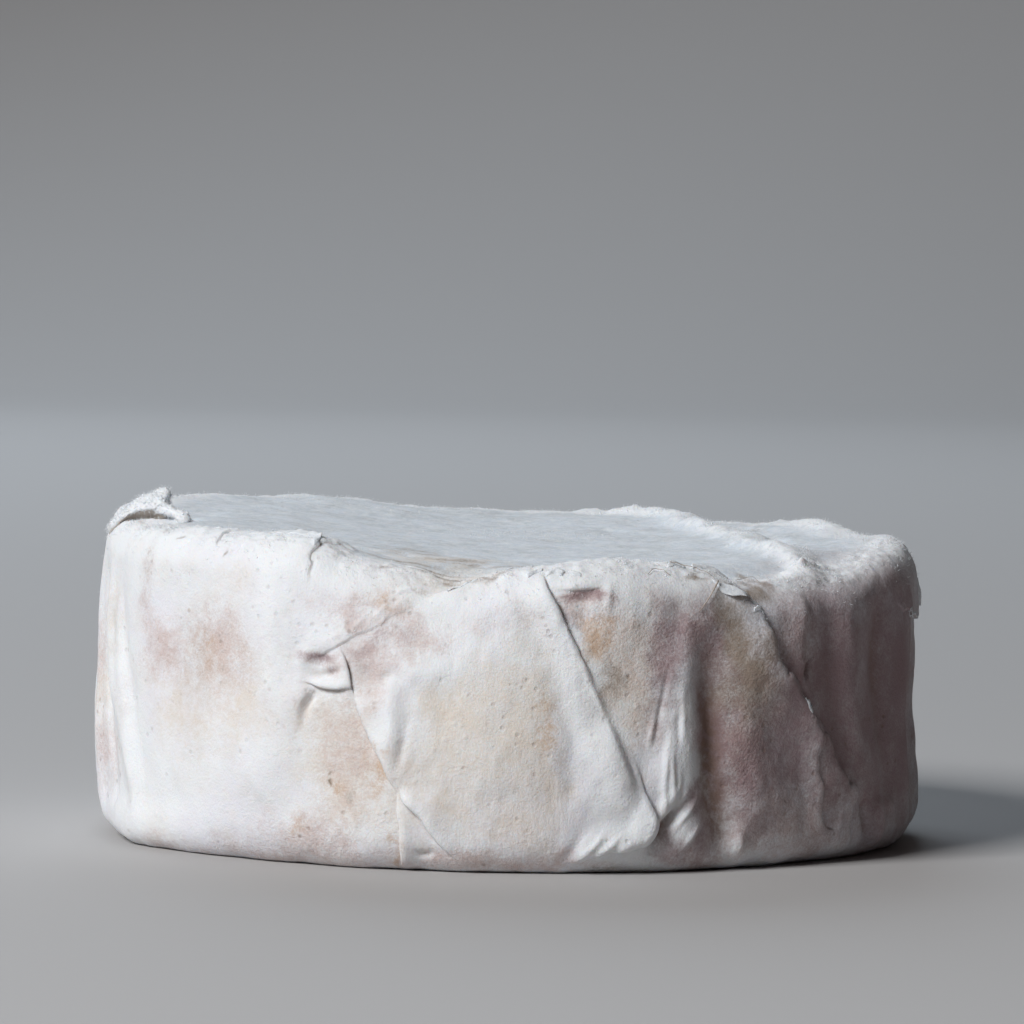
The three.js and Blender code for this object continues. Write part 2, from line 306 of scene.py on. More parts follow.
# Soft steps: like laps, but the edge has closed over and is only a rounded drop, soft mm wide
STEPS = [
    dict(hand=1, soft=0.45, fade=5, line=[
        (-25.2, 24.2, 0.2), (-26.0, 23.4, 0.55), (-26.8, 22.0, 0.6), (-27.4, 20.2, 0.4),
        (-28.0, 17.5, 0.1)]),
    dict(hand=1, soft=0.6, fade=4.2, line=[
        (9.0, 30.3, 0.1), (10.3, 27.5, 0.2), (11.6, 24.9, 0.22), (13.2, 21.8, 0.2), (14.3, 19.3, 0.25),
        (15.6, 17.4, 0.2), (16.8, 15.6, 0.2), (17.5, 13.4, 0.1)]),
    dict(hand=1, soft=0.35, fade=6, line=[
        (12.6, 22.2, 0.1), (13.4, 20.4, 0.5), (14.2, 18.6, 0.75), (15.2, 16.2, 0.75),
        (16.0, 14.4, 0.6), (16.4, 12.6, 0.2)]),
    dict(hand=1, soft=0.5, fade=2.6, line=[
        (24.6, 13.4, 0.1), (23.4, 12.0, 0.6), (21.4, 10.0, 0.9), (19.9, 8.6, 0.8), (19.2, 7.2, 0.3)]),
    dict(hand=1, soft=1.1, fade=5, line=[
        (43.4, 40.2, 0.1), (43.0, 37.0, 0.5), (42.4, 34.0, 0.7), (42.2, 31.4, 0.7),
        (42.8, 28.4, 0.6), (43.6, 25.4, 0.5), (44.2, 22.4, 0.1)]),
    dict(hand=1, soft=1.2, fade=6, line=[
        (-66.5, 34.0, 0.2), (-64.5, 27.0, 0.7), (-60.5, 19.0, 0.8), (-57.0, 10.0, 0.6), (-56.0, 4.0, 0.2)]),
]

# Pleats and troughs: half width, and a line through [place round, place up, height (+) or depth (-)]
FOLDS = [
    # far left: the long soft pleats that fall from the left shoulder to the foot
    (1.5, [(-71.5, 37.5, 0.2), (-70.0, 31.0, 0.7), (-68.4, 25.5, 0.9), (-63.5, 18.5, 0.9),
           (-58.8, 9.8, 0.7), (-57.5, 3.0, 0.2)]),
    (1.3, [(-75.5, 36.0, -0.2), (-73.6, 29.0, -0.7), (-71.3, 22.5, -0.8), (-67.5, 14.5, -0.7),
           (-64.5, 6.0, -0.3)]),
    (1.6, [(-80.0, 37.0, 0.2), (-78.5, 29.0, 0.6), (-75.8, 20.0, 0.8), (-72.5, 11.0, 0.8),
           (-70.5, 3.0, 0.3)]),
    (1.2, [(-66.0, 24.0, -0.1), (-62.5, 17.0, -0.4), (-59.0, 9.0, -0.4), (-57.0, 3.0, -0.1)]),
    (6.5, [(-49.0, 38.0, -0.2), (-47.0, 28.0, -0.7), (-46.0, 18.0, -0.6), (-47.0, 6.0, -0.2)]),
    (3.2, [(-33.0, 39.0, 0.3), (-32.0, 30.0, 0.8), (-31.0, 20.0, 0.7), (-33.5, 9.0, 0.4)]),
    # the small dog-eared pleat left of the front
    (0.45, [(-26.8, 25.1, -0.15), (-25.6, 25.6, -0.5), (-24.0, 26.3, -0.8), (-22.6, 26.9, -0.85),
            (-21.3, 27.5, -0.5)]),
    (1.1, [(-26.4, 26.4, -0.2), (-25.0, 27.2, -0.5), (-23.5, 28.3, -0.6), (-22.6, 29.2, -0.3)]),
    (0.9, [(-28.2, 25.4, 0.1), (-27.2, 26.9, 0.5), (-26.4, 28.1, 0.55), (-25.7, 29.4, 0.1)]),
    (0.45, [(-24.9, 24.0, -0.2), (-25.8, 23.1, -0.5), (-26.5, 22.0, -0.45), (-27.0, 20.4, -0.2)]),
    # the streaks of bloom that were drawn out above the shoulder's edge
    (0.3, [(-25.4, 29.3, 0.0), (-23.6, 30.8, 0.12), (-22.6, 31.4, 0.15), (-21.0, 33.0, 0.0)]),
    (0.3, [(-21.6, 31.2, 0.0), (-20.4, 32.8, 0.15), (-19.2, 33.9, 0.15), (-18.2, 35.4, 0.0)]),
    (0.3, [(-18.8, 33.0, 0.0), (-17.6, 34.6, 0.18), (-16.4, 35.8, 0.18), (-15.2, 37.3, 0.0)]),
    (0.3, [(-16.4, 34.8, 0.0), (-15.2, 36.0, 0.15), (-14.2, 36.9, 0.15), (-13.0, 38.2, 0.0)]),
    (0.3, [(-16.4, 36.9, 0.1), (-14.6, 38.2, 0.3), (-12.6, 39.2, 0.3), (-10.6, 40.4, 0.1)]),
    # below the shoulder's edge, and down the left of the front panel
    (3.0, [(-20.4, 28.0, -0.2), (-17.8, 29.4, -0.2), (-14.8, 31.2, -0.2), (-11.8, 33.4, -0.2),
           (-9.2, 35.6, -0.2), (-6.0, 37.6, -0.1)]),
    (1.3, [(-19.0, 28.6, -0.5), (-18.4, 26.6, -0.6), (-17.4, 24.4, -0.4), (-16.8, 22.6, -0.1)]),
    (1.25, [(-16.0, 27.2, 0.05), (-15.3, 25.6, 0.3), (-14.9, 23.4, 0.5), (-14.7, 21.0, 0.55),
            (-14.6, 18.6, 0.6), (-14.5, 16.4, 0.5), (-14.2, 14.4, 0.2), (-14.0, 12.8, 0.0)]),
    (0.6, [(-11.9, 24.6, 0.0), (-12.3, 22.8, -0.1), (-12.8, 20.6, -0.2), (-13.1, 18.4, -0.3),
           (-13.5, 16.4, -0.28), (-13.8, 14.6, -0.1)]),
    (0.8, [(-17.2, 25.4, -0.1), (-16.2, 26.6, -0.35), (-14.8, 27.5, -0.35), (-12.8, 28.0, -0.1)]),
    (1.6, [(-14.4, 26.6, 0.1), (-12.4, 28.2, 0.4), (-9.5, 29.0, 0.4), (-6.0, 29.2, 0.1)]),
    (8.0, [(-3.0, 33.0, 0.3), (-1.0, 22.0, 0.7), (0.0, 12.0, 0.4)]),
    (0.5, [(-11.9, 5.0, -0.2), (-10.8, 4.4, -0.7), (-9.6, 4.6, -0.6), (-8.8, 5.0, -0.1)]),
    (0.3, [(-12.6, 7.6, -0.1), (-11.9, 7.5, -0.35), (-11.2, 7.8, -0.1)]),
    # small cracks on the left of the rim
    (0.35, [(-52.3, 39.0, -0.3), (-51.5, 39.0, -0.8), (-50.7, 39.5, -0.9), (-50.1, 40.4, -0.7),
            (-49.8, 41.2, -0.2)]),
    (0.3, [(-40.9, 38.6, -0.2), (-40.2, 38.9, -0.7), (-39.6, 39.6, -0.7), (-39.3, 40.6, -0.5),
           (-39.2, 41.8, -0.2)]),
    # pits
    (0.3, [(-23.3, 14.5, -0.8), (-22.6, 14.2, -0.9), (-22.0, 14.3, -0.6)]),
    (0.3, [(-22.5, 12.6, -0.8), (-22.0, 12.6, -0.9), (-21.5, 12.8, -0.6)]),
    (0.3, [(-2.3, 33.1, -0.5), (-1.9, 33.2, -0.6), (-1.5, 33.1, -0.4)]),
    # the band along the front panel's right edge
    (1.9, [(11.6, 20.0, 0.1), (12.8, 16.6, 0.5), (14.2, 13.0, 0.7), (15.6, 9.6, 0.5)]),
    (1.5, [(2.6, 36.0, -0.1), (4.2, 31.0, -0.35), (6.4, 25.0, -0.4), (8.2, 18.0, -0.4), (9.4, 11.0, -0.3)]),
    (1.6, [(15.6, 7.2, 0.3), (17.0, 9.2, 0.5), (16.8, 11.8, 0.3)]),
    (0.3, [(9.4, 34.0, 0.0), (7.4, 33.4, 0.15), (8.2, 30.8, 0.2), (9.2, 28.6, 0.1)]),
    (0.3, [(9.2, 29.0, 0.05), (10.2, 26.6, 0.25), (11.6, 23.8, 0.25), (12.8, 21.4, 0.1)]),
    (0.3, [(15.0, 7.6, 0.05), (13.4, 6.2, 0.35), (11.6, 4.6, 0.3), (10.2, 3.2, 0.1)]),
    (0.3, [(13.0, 8.2, 0.05), (11.6, 6.4, 0.3), (10.0, 4.8, 0.3), (8.6, 3.4, 0.1)]),
    (0.3, [(16.4, 6.6, 0.05), (14.6, 5.6, 0.3), (12.8, 4.4, 0.3), (11.4, 3.0, 0.1)]),
    (0.8, [(10.8, 8.8, -0.05), (9.4, 6.4, -0.35), (8.0, 4.4, -0.3), (7.0, 3.0, -0.1)]),
    (1.1, [(6.2, 37.6, -0.2), (7.6, 37.3, -0.55), (9.8, 37.2, -0.55), (12.0, 37.5, -0.1)]),
    (0.5, [(13.2, 39.4, 0.1), (13.0, 37.8, 0.35), (12.8, 35.8, 0.2), (12.6, 33.8, 0.0)]),
    (1.3, [(8.2, 37.0, -0.2), (9.2, 34.6, -0.4), (10.2, 32.0, -0.2)]),
    # thin pleats right of the front panel, close together where the rind was gathered
    (0.3, [(21.0, 28.8, -0.05), (20.5, 26.6, -0.2), (19.9, 23.8, -0.25), (19.2, 20.6, -0.2),
           (18.5, 17.8, 0.0)]),
    (0.3, [(19.5, 24.4, 0.0), (19.0, 21.7, 0.15), (18.5, 19.4, 0.25), (18.1, 17.4, 0.05)]),
    (0.3, [(22.4, 24.0, -0.05), (22.2, 22.0, -0.2), (22.1, 20.0, -0.25), (22.1, 17.9, -0.05)]),
    (0.4, [(22.9, 26.6, 0.05), (22.8, 24.4, 0.15), (22.7, 21.6, 0.2), (22.6, 18.4, 0.1)]),
    (0.3, [(21.1, 20.6, 0.1), (20.7, 18.4, 0.3), (20.4, 16.2, 0.35), (20.2, 13.6, 0.35), (20.4, 10.8, 0.3),
           (20.6, 9.4, 0.1)]),
    (0.3, [(21.6, 20.0, 0.05), (21.2, 17.8, 0.25), (21.2, 15.6, 0.3), (21.5, 13.2, 0.3), (21.4, 11.6, 0.25),
           (20.9, 10.2, 0.1)]),
    (0.3, [(22.3, 16.4, 0.05), (22.3, 14.2, 0.25), (22.0, 12.2, 0.25), (21.3, 10.6, 0.1)]),
    (1.1, [(21.0, 18.6, 0.1), (20.9, 15.0, 0.35), (20.9, 12.0, 0.4), (20.8, 10.2, 0.2)]),
    (2.8, [(26.0, 37.0, 0.2), (24.9, 33.6, 0.4), (23.8, 29.4, 0.55), (22.9, 25.2, 0.65), (22.2, 19.4, 0.7),
           (21.8, 14.0, 0.5), (21.6, 10.4, 0.2)]),
    (1.8, [(24.0, 37.6, -0.1), (22.8, 34.4, -0.25), (21.4, 31.0, -0.3), (20.0, 27.5, -0.1)]),
    # the deep trough, and the rounded fold at its foot
    (2.0, [(27.0, 34.0, -0.1), (26.6, 30.0, -0.5), (26.4, 26.0, -0.9), (26.6, 21.0, -1.15),
           (27.0, 16.0, -1.15), (27.6, 11.6, -1.1), (28.8, 7.4, -1.0), (30.0, 3.4, -0.6)]),
    (3.4, [(28.4, 34.0, -0.2), (28.0, 27.0, -0.5), (28.0, 20.0, -0.6), (28.6, 12.0, -0.6),
           (30.0, 5.0, -0.4)]),
    (0.8, [(23.6, 13.6, -0.2), (22.2, 11.4, -0.7), (21.0, 9.2, -1.0), (19.9, 7.2, -1.0), (19.2, 5.4, -0.7),
           (18.4, 3.6, -0.1)]),
    (2.2, [(20.8, 3.0, 0.2), (22.4, 5.6, 0.35), (24.2, 8.0, 0.35), (26.0, 10.6, 0.1)]),
    (0.3, [(21.4, 7.2, 0.1), (22.6, 8.8, 0.3), (24.2, 10.6, 0.3), (25.8, 12.4, 0.1)]),
    (0.35, [(22.6, 4.6, 0.1), (23.8, 6.4, 0.3), (25.2, 8.0, 0.25), (26.2, 9.6, 0.05)]),
    (0.3, [(24.2, 3.6, 0.05), (24.9, 5.6, 0.25), (25.8, 7.4, 0.1)]),
    (3.6, [(33.5, 36.0, 0.3), (32.6, 28.0, 0.8), (33.0, 18.0, 0.8), (36.0, 8.0, 0.5)]),
    (1.0, [(31.4, 8.6, 0.2), (31.9, 5.6, 0.7), (32.2, 2.6, 0.3)]),
    # right of the right-hand lap
    (0.6, [(43.4, 31.2, -0.2), (42.9, 30.0, -0.9), (42.4, 28.6, -1.0), (42.2, 27.0, -0.3)]),
    (2.2, [(47.4, 40.5, -0.1), (47.6, 35.0, -0.6), (47.4, 28.0, -0.7), (48.6, 21.0, -0.6),
           (51.5, 15.0, -0.2)]),
    (2.4, [(53.4, 40.0, 0.1), (53.0, 36.0, 0.4), (52.6, 30.0, 0.5), (52.6, 24.0, 0.5), (53.8, 17.0, 0.4),
           (55.4, 12.6, 0.1)]),
    (2.4, [(61.0, 40.0, -0.2), (60.5, 33.0, -0.9), (60.2, 24.0, -1.0), (61.5, 15.0, -0.6),
           (63.0, 9.0, -0.2)]),
    (0.9, [(54.8, 11.6, -0.2), (55.6, 9.0, -0.9), (56.8, 6.0, -1.0), (57.6, 3.2, -0.3)]),
    (1.3, [(58.4, 11.0, 0.2), (59.4, 8.4, 1.0), (60.0, 5.4, 1.0), (60.4, 2.4, 0.3)]),
    (0.7, [(61.4, 9.6, 0.1), (63.4, 8.8, 0.4), (65.6, 7.4, 0.1)]),
    (0.6, [(49.8, 10.6, 0.1), (49.2, 8.6, 0.35), (48.9, 6.0, 0.35), (49.6, 3.6, 0.1)]),
    # round the right side, and the sharp rims at both sides
    (2.6, [(66, 40.6, 0.1), (76, 40.6, 0.6), (86, 40.6, 0.8), (96, 40.6, 0.7), (106, 40.6, 0.1)]),
    (2.6, [(-106, 40.6, 0.1), (-97, 40.6, 0.8), (-86, 40.6, 1.0), (-77, 40.6, 0.5), (-68, 40.6, 0.1)]),
    (2.6, [(70.0, 32.0, 0.2), (69.0, 24.0, 0.8), (69.5, 14.0, 0.8), (71.0, 5.0, 0.3)]),
    (2.4, [(78.0, 30.0, -0.2), (77.0, 22.0, -0.8), (77.6, 12.0, -0.7), (79.0, 4.0, -0.2)]),
    (2.6, [(86.0, 30.0, 0.2), (85.0, 21.0, 0.7), (84.5, 11.0, 0.7), (85.5, 3.0, 0.2)]),
]
# The back has the same kind of pleats, in turn proud and sunk, with less order
BACK_PLEATS = dict(first=112.0, last=228.0, count=14, depth=0.7, width=2.0, wander=6.0, seed=11)

# Folds on the top: half widths towards the middle and towards the rim, how much lumps change the
# height, and a line through [x, y, height]
TOP_FOLDS = [
    dict(inner=1.6, outer=3.8, rough=0.3, line=[
        (6, 49.5, 0.1), (10.5, 48.5, 0.8), (14.5, 47.2, 1.8), (17.6, 45.2, 1.9), (20.6, 40, 1.2),
        (23.4, 33, 1.1), (25.8, 25, 1.4), (28, 14, 1.5), (30.2, 3, 1.2), (32.6, -8, 1.3), (35.2, -18, 1.5),
        (38, -27, 1.3), (41, -34.5, 1.2), (44, -39, 0.3)]),
    dict(inner=1.4, outer=2.4, rough=0.5, line=[
        (5, -48.2, 0.1), (12, -46.8, 0.5), (19, -44.6, 0.6), (26, -41.2, 0.45), (32, -37.4, 0.55),
        (37.5, -31.5, 0.7), (42, -25, 0.2)]),
    dict(inner=2.6, outer=3.0, rough=0.2, line=[
        (33, 39, 0.2), (37, 34.5, 0.8), (40.5, 28.5, 1.7), (43.5, 21.5, 1.0), (46, 14, 0.2)]),
    dict(inner=2.0, outer=2.0, rough=0.2, line=[
        (27, 36, -0.2), (31.5, 26, -0.9), (35, 14, -0.9), (38, 2, -0.3)]),
    dict(inner=0.5, outer=0.7, rough=0.3, line=[
        (-26, -24, -0.1), (-18, -30, -0.35), (-9, -35, -0.4), (2, -40, -0.2)]),
    dict(inner=0.5, outer=0.6, rough=0.3, line=[
        (-18, -22, -0.1), (-8, -26, -0.3), (3, -31, -0.3), (10, -36, -0.1)]),
    dict(inner=0.6, outer=0.6, rough=0.3, line=[
        (-22, -33, -0.1), (-15, -37, -0.4), (-8, -40, -0.4), (-1, -44, -0.2)]),
    dict(inner=1.8, outer=1.6, rough=0.1, line=[
        (-51.4, -8.5, -0.2), (-50.3, -12.2, -0.6), (-48.6, -15.4, -0.6), (-46.2, -18.6, -0.4),
        (-43.6, -21.4, -0.1)]),
    dict(inner=0.9, outer=0.6, rough=0.3, line=[
        (-45.0, -10.6, -0.4), (-43.6, -12.4, -0.9), (-42.4, -14.0, -0.7), (-41.4, -15.6, -0.2)]),
    dict(inner=0.4, outer=0.4, rough=0.1, line=[
        (16.6, -43.4, -0.1), (18.2, -45.2, -0.4), (20.2, -45.0, -0.4), (21.6, -43.4, -0.1)]),
    dict(inner=3.0, outer=3.0, rough=0.2, line=[
        (-52, -9, -0.3), (-47, -6, -1.1), (-44, 0, -1.0), (-43, 8, -0.3)]),
    dict(inner=5.0, outer=5.0, rough=0.2, line=[(-30, 34, 0.2), (-22, 30, 0.5), (-12, 31, 0.3)]),
    dict(inner=6.0, outer=6.0, rough=0.2, line=[(-12, 8, 0.1), (2, 14, 0.4), (14, 10, 0.1)]),
    dict(inner=0.6, outer=0.6, rough=0.3, line=[
        (-34, 14, -0.1), (-27, 20, -0.3), (-18, 23, -0.3), (-11, 22, -0.1)]),
    dict(inner=0.6, outer=0.8, rough=0.3, line=[
        (6, 30, -0.1), (13, 27, -0.3), (19, 21, -0.2), (21, 14, -0.1)]),
]
END_TAPER = 2.0             # over which a lap or a fold grows from nothing at its ends
LINE_SPACING, FOLD_SPACING, LONG_SPACING = 0.34, 0.7, 1.0       # of the points along the lines
LINE_OFFSETS = (0.5, 0.2, 0.02, -0.1, -0.36)        # rows of points along a lap, + on the upper layer
FINE_WIDTH, SOFT_WIDTH = 1.0, 2.6       # narrower folds get the finest points, or fine ones
FINEST, FINE, COARSE, COARSEST = 0.31, 0.54, 0.93, 1.6      # spacings of the points
FINE_REACH = 1.1
FRONT_HALF = 92             # how far round from the front the points stay fine
RIM_MIDDLE = 43             # the middle of the rim's rounding, up the section
JITTER = 0.12
BLEND = 0.5                 # over which the values along a line run into each other
NEAR = 20                   # points further than this from a line don't look for it


def right_of(line):
    """Unit vectors that point to a line's right, seen from outside."""
    step = np.gradient(line[:, :2], axis=0)
    return np.stack([step[:, 1], -step[:, 0]], 1) / np.hypot(*step.T)[:, None]


def torn(line, tear, seed):
    """The line with a ragged wander, for an edge that tore as the cloth came off."""
    if tear == 0:
        return line
    run = np.arange(len(line)) * LINE_SPACING
    zero = np.zeros(len(line))
    wander = tear * (noise(run / 1.6, zero, zero, seed) + 0.6 * noise(run / 0.7, zero, zero, seed + 7))
    edge = ramp(run, 0, 2) * ramp(run[-1] - run, 0, 2)
    bent = line.copy()
    bent[:, :2] += right_of(line) * wander[:, None] * edge[:, None]
    bent[:, 2] *= 1 + 0.25 * noise(run / 2.3, zero, zero, seed + 13)
    return bent


def finish_line(line):
    """Tapers the third column to nothing at both ends."""
    run = run_along(line)
    line = line.copy()
    line[:, 2] *= ramp(run, 0, END_TAPER) * ramp(run[-1] - run, 0, END_TAPER)
    return line


def beside_line(px, py, line, reach):
    """Which points lie within reach of a line, how far (+ to its right), its value there and its right."""
    low, high = line[:, :2].min(0) - reach, line[:, :2].max(0) + reach
    near = np.nonzero((px > low[0]) & (px < high[0]) & (py > low[1]) & (py < high[1]))[0]
    a, step = line[:-1], np.diff(line, axis=0)
    length = (step[:, :2] ** 2).sum(1)
    found, distances, values, rights = [], [], [], []
    for part in np.array_split(near, max(1, len(near) // 6000)):
        dx = px[part, None] - a[None, :, 0]
        dy = py[part, None] - a[None, :, 1]
        t = np.clip((dx * step[:, 0] + dy * step[:, 1]) / length, 0, 1)
        off_x, off_y = dx - t * step[:, 0], dy - t * step[:, 1]
        gap = np.hypot(off_x, off_y)
        pick = gap.argmin(1)
        row = np.arange(len(part))
        side = step[pick, 1] * dx[row, pick] - step[pick, 0] * dy[row, pick]
        found.append(part)
        distances.append(np.where(side >= 0, 1, -1) * gap[row, pick])
        share = np.exp((gap[row, pick][:, None] - gap) / BLEND)
        values.append((share * (a[:, 2] + t * step[:, 2])).sum(1) / share.sum(1))
        rights.append(np.stack([step[pick, 1], -step[pick, 0]], 1) / np.sqrt(length[pick])[:, None])
    found, distances, values, rights = (np.concatenate(x) for x in (found, distances, values, rights))
    close = np.abs(distances) < reach
    return found[close], distances[close], values[close], rights[close]


lap_lines = {}
for index, (name, lap) in enumerate(LAPS.items()):
    lap_lines[name] = finish_line(torn(smooth_line(lap["line"], LINE_SPACING), lap["tear"], 100 + 17 * index))
step_lines = [(finish_line(smooth_line(step["line"], FOLD_SPACING)), step) for step in STEPS]
fold_lines = [(finish_line(smooth_line(line, FOLD_SPACING)), width) for width, line in FOLDS]
pleats = np.random.default_rng(BACK_PLEATS["seed"])
for index in range(BACK_PLEATS["count"]):
    share = index / (BACK_PLEATS["count"] - 1)
    place = BACK_PLEATS["first"] + share * (BACK_PLEATS["last"] - BACK_PLEATS["first"])
    sign = 1 if index % 2 else -1
    steps = np.cumsum(pleats.uniform(-1, 1, 5)) * BACK_PLEATS["wander"] / 2
    sizes = sign * BACK_PLEATS["depth"] * pleats.uniform(0.6, 1.3, 5)
    points = [(place + steps[k], 39 - 8.5 * k, sizes[k]) for k in range(5)]
    width = BACK_PLEATS["width"] * pleats.uniform(0.5, 1.4)
    fold_lines.append((finish_line(smooth_line(points, LONG_SPACING)), width))
top_lines = [(finish_line(smooth_line(fold["line"], LONG_SPACING)), fold) for fold in TOP_FOLDS]


def copies_near(px, line):
    """The line, and its copies one turn of the wheel away, where they come near these points."""
    for turn in (-TURN, 0.0, TURN):
        if line[:, 0].max() + turn > px.min() - NEAR and line[:, 0].min() + turn < px.max() + NEAR:
            moved = line.copy()
            moved[:, 0] += turn
            yield moved


def lattice(low_x, high_x, low_y, high_y, spacing_at, seed):
    """Points of a nested triangular lattice, kept only as close together as spacing_at asks for."""
    rise = FINEST * math.sqrt(3) / 2
    rows = np.arange(math.floor(low_y / rise), math.ceil(high_y / rise) + 1)
    columns = np.arange(math.floor(low_x / FINEST) - len(rows), math.ceil(high_x / FINEST) + len(rows))
    i, j = np.meshgrid(columns, rows)
    i, j = i.ravel(), j.ravel()
    x, y = FINEST * (i + 0.5 * j), rise * j
    inside = (x > low_x) & (x < high_x) & (y > low_y) & (y < high_y)
    i, j, x, y = i[inside], j[inside], x[inside], y[inside]
    level = np.zeros(len(i), int)
    for k in range(3):
        step = 3 ** k
        coarse = (i % step == 0) & (j % step == 0)
        level[coarse & ((i // step - j // step) % 3 == 0)] = 2 * k + 1
        level[coarse & (i % (3 * step) == 0) & (j % (3 * step) == 0)] = 2 * k + 2
    wanted = spacing_at(x, y)
    asked = np.round(np.log(wanted / FINEST) / math.log(math.sqrt(3))).astype(int)
    keep = level >= asked
    x, y, wanted = x[keep], y[keep], wanted[keep]
    shake = np.random.default_rng(seed).uniform(-1, 1, (2, len(x))) * JITTER * wanted
    return x + shake[0], y + shake[1]


def side_spacing(s, v):
    """How far apart the points of the wrapped side lie: closest at the front and along the laps."""
    front = np.where(np.abs(s) < FRONT_HALF, FINE, COARSE)
    wanted = np.where((v > 1.5) & (v < 50), front, COARSE)
    wanted = np.where(v < -1.0, COARSEST, wanted)
    wanted = np.where((np.abs(v - RIM_MIDDLE) < 3) & (np.abs(s - 5) < 78), FINEST, wanted)
    for fold_line, width in fold_lines:
        for line in copies_near(s, fold_line):
            if width < FINE_WIDTH:
                near, *_ = beside_line(s, v, line, FINE_REACH)
                wanted[near] = FINEST
            elif width < SOFT_WIDTH:
                near, *_ = beside_line(s, v, line, 2 * width)
                wanted[near] = np.minimum(wanted[near], FINE)
    for lap_line in lap_lines.values():
        for line in copies_near(s, lap_line):
            near, *_ = beside_line(s, v, line, FINE_REACH)
            wanted[near] = FINEST
            near, *_ = beside_line(s, v, line, 3 * FINE_REACH)
            wanted[near] = np.minimum(wanted[near], FINE)
    return wanted


# Points of the wrapped side: its two seam columns, its two end rows, the rows along each lap,
# and the lattice between them
half_turn = TURN / 2
SEAM_POINTS, TOP_POINTS, FOOT_POINTS = 76, 181, 141
CLEAR_OF_SEAM, CLEAR_OF_FOOT, CLEAR_OF_TOP, CLEAR_OF_LAPS = 0.4, 0.6, 0.5, 0.62     # lattice to rows
seam_v = np.linspace(RUN_LOW, RUN_HIGH, SEAM_POINTS)
top_s = np.linspace(-half_turn, half_turn, TOP_POINTS)
foot_s = np.linspace(-half_turn, half_turn, FOOT_POINTS)
side_points, side_edges = [], []


def add_row(points):
    """Adds a row of points whose neighbours stay joined by an edge."""
    first = sum(len(p) for p in side_points)
    side_points.append(points)
    side_edges.extend((first + k, first + k + 1) for k in range(len(points) - 1))


add_row(np.stack([np.full(len(seam_v), -half_turn), seam_v], 1))
add_row(np.stack([np.full(len(seam_v), half_turn), seam_v], 1))
add_row(np.stack([top_s[1:-1], np.full(len(top_s) - 2, RUN_HIGH)], 1))
add_row(np.stack([foot_s[1:-1], np.full(len(foot_s) - 2, RUN_LOW)], 1))
for name, line in lap_lines.items():
    for offset in LINE_OFFSETS:
        add_row(line[:, :2] + right_of(line) * LAPS[name]["hand"] * offset)
lattice_s, lattice_v = lattice(-half_turn + CLEAR_OF_SEAM, half_turn - CLEAR_OF_SEAM,
                               RUN_LOW + CLEAR_OF_FOOT, RUN_HIGH - CLEAR_OF_TOP, side_spacing, seed=5)
clear = np.ones(len(lattice_s), bool)
for line in lap_lines.values():
    near, *_ = beside_line(lattice_s, lattice_v, line, CLEAR_OF_LAPS)
    clear[near] = False
side_points.append(np.stack([lattice_s[clear], lattice_v[clear]], 1))
flat = np.vstack(side_points)
found, _, side_faces, _, _, _ = delaunay_2d_cdt([Vector(p) for p in flat], side_edges, [], 0, 1e-5)
found = np.array([tuple(p) for p in found])
side_faces = np.array([tuple(f) for f in side_faces])

# Lip of a lap: how the upper layer's free edge rounds off, overhangs and presses into the lower one
LIP_DROP, LIP_ROUND = 0.4, 0.25
LIP_HANG, LIP_REACH = 0.38, 0.5
GULLY_DEPTH, GULLY_WIDTH = 0.42, 0.45
TUCK_UNDER, TUCK_REACH = 0.22, 0.2
# Unevenness of the whole rind: [height, size, how much longer up the side than round it, seed]
UNEVENNESS = [(0.34, 13, 0, 71), (0.12, 3.6, 0.6, 73), (0.045, 1.2, 0.6, 75)]
RIM_CRUMBLE = 0.15
# Painted shade and highlight: shade is painted below a lap's edge and at a step's foot, and highlight with
# the bloom's white on the edge; folds get both for each mm of depth or height.
CREASE_SHADE_WIDTH, EDGE_PLACE, EDGE_SPREAD = 0.6, 0.3, 1.2       # dark below a lap's edge, white on it
STEP_UNDERCUT, STEP_MARK = 0.25, 0.3        # shares of a step's rise: its gully, its dark and white
FOLD_REACH, FOLD_MARK, TOP_FOLD_MARK = 2.6, 0.5, 0.6        # in half widths; dark and white for each mm
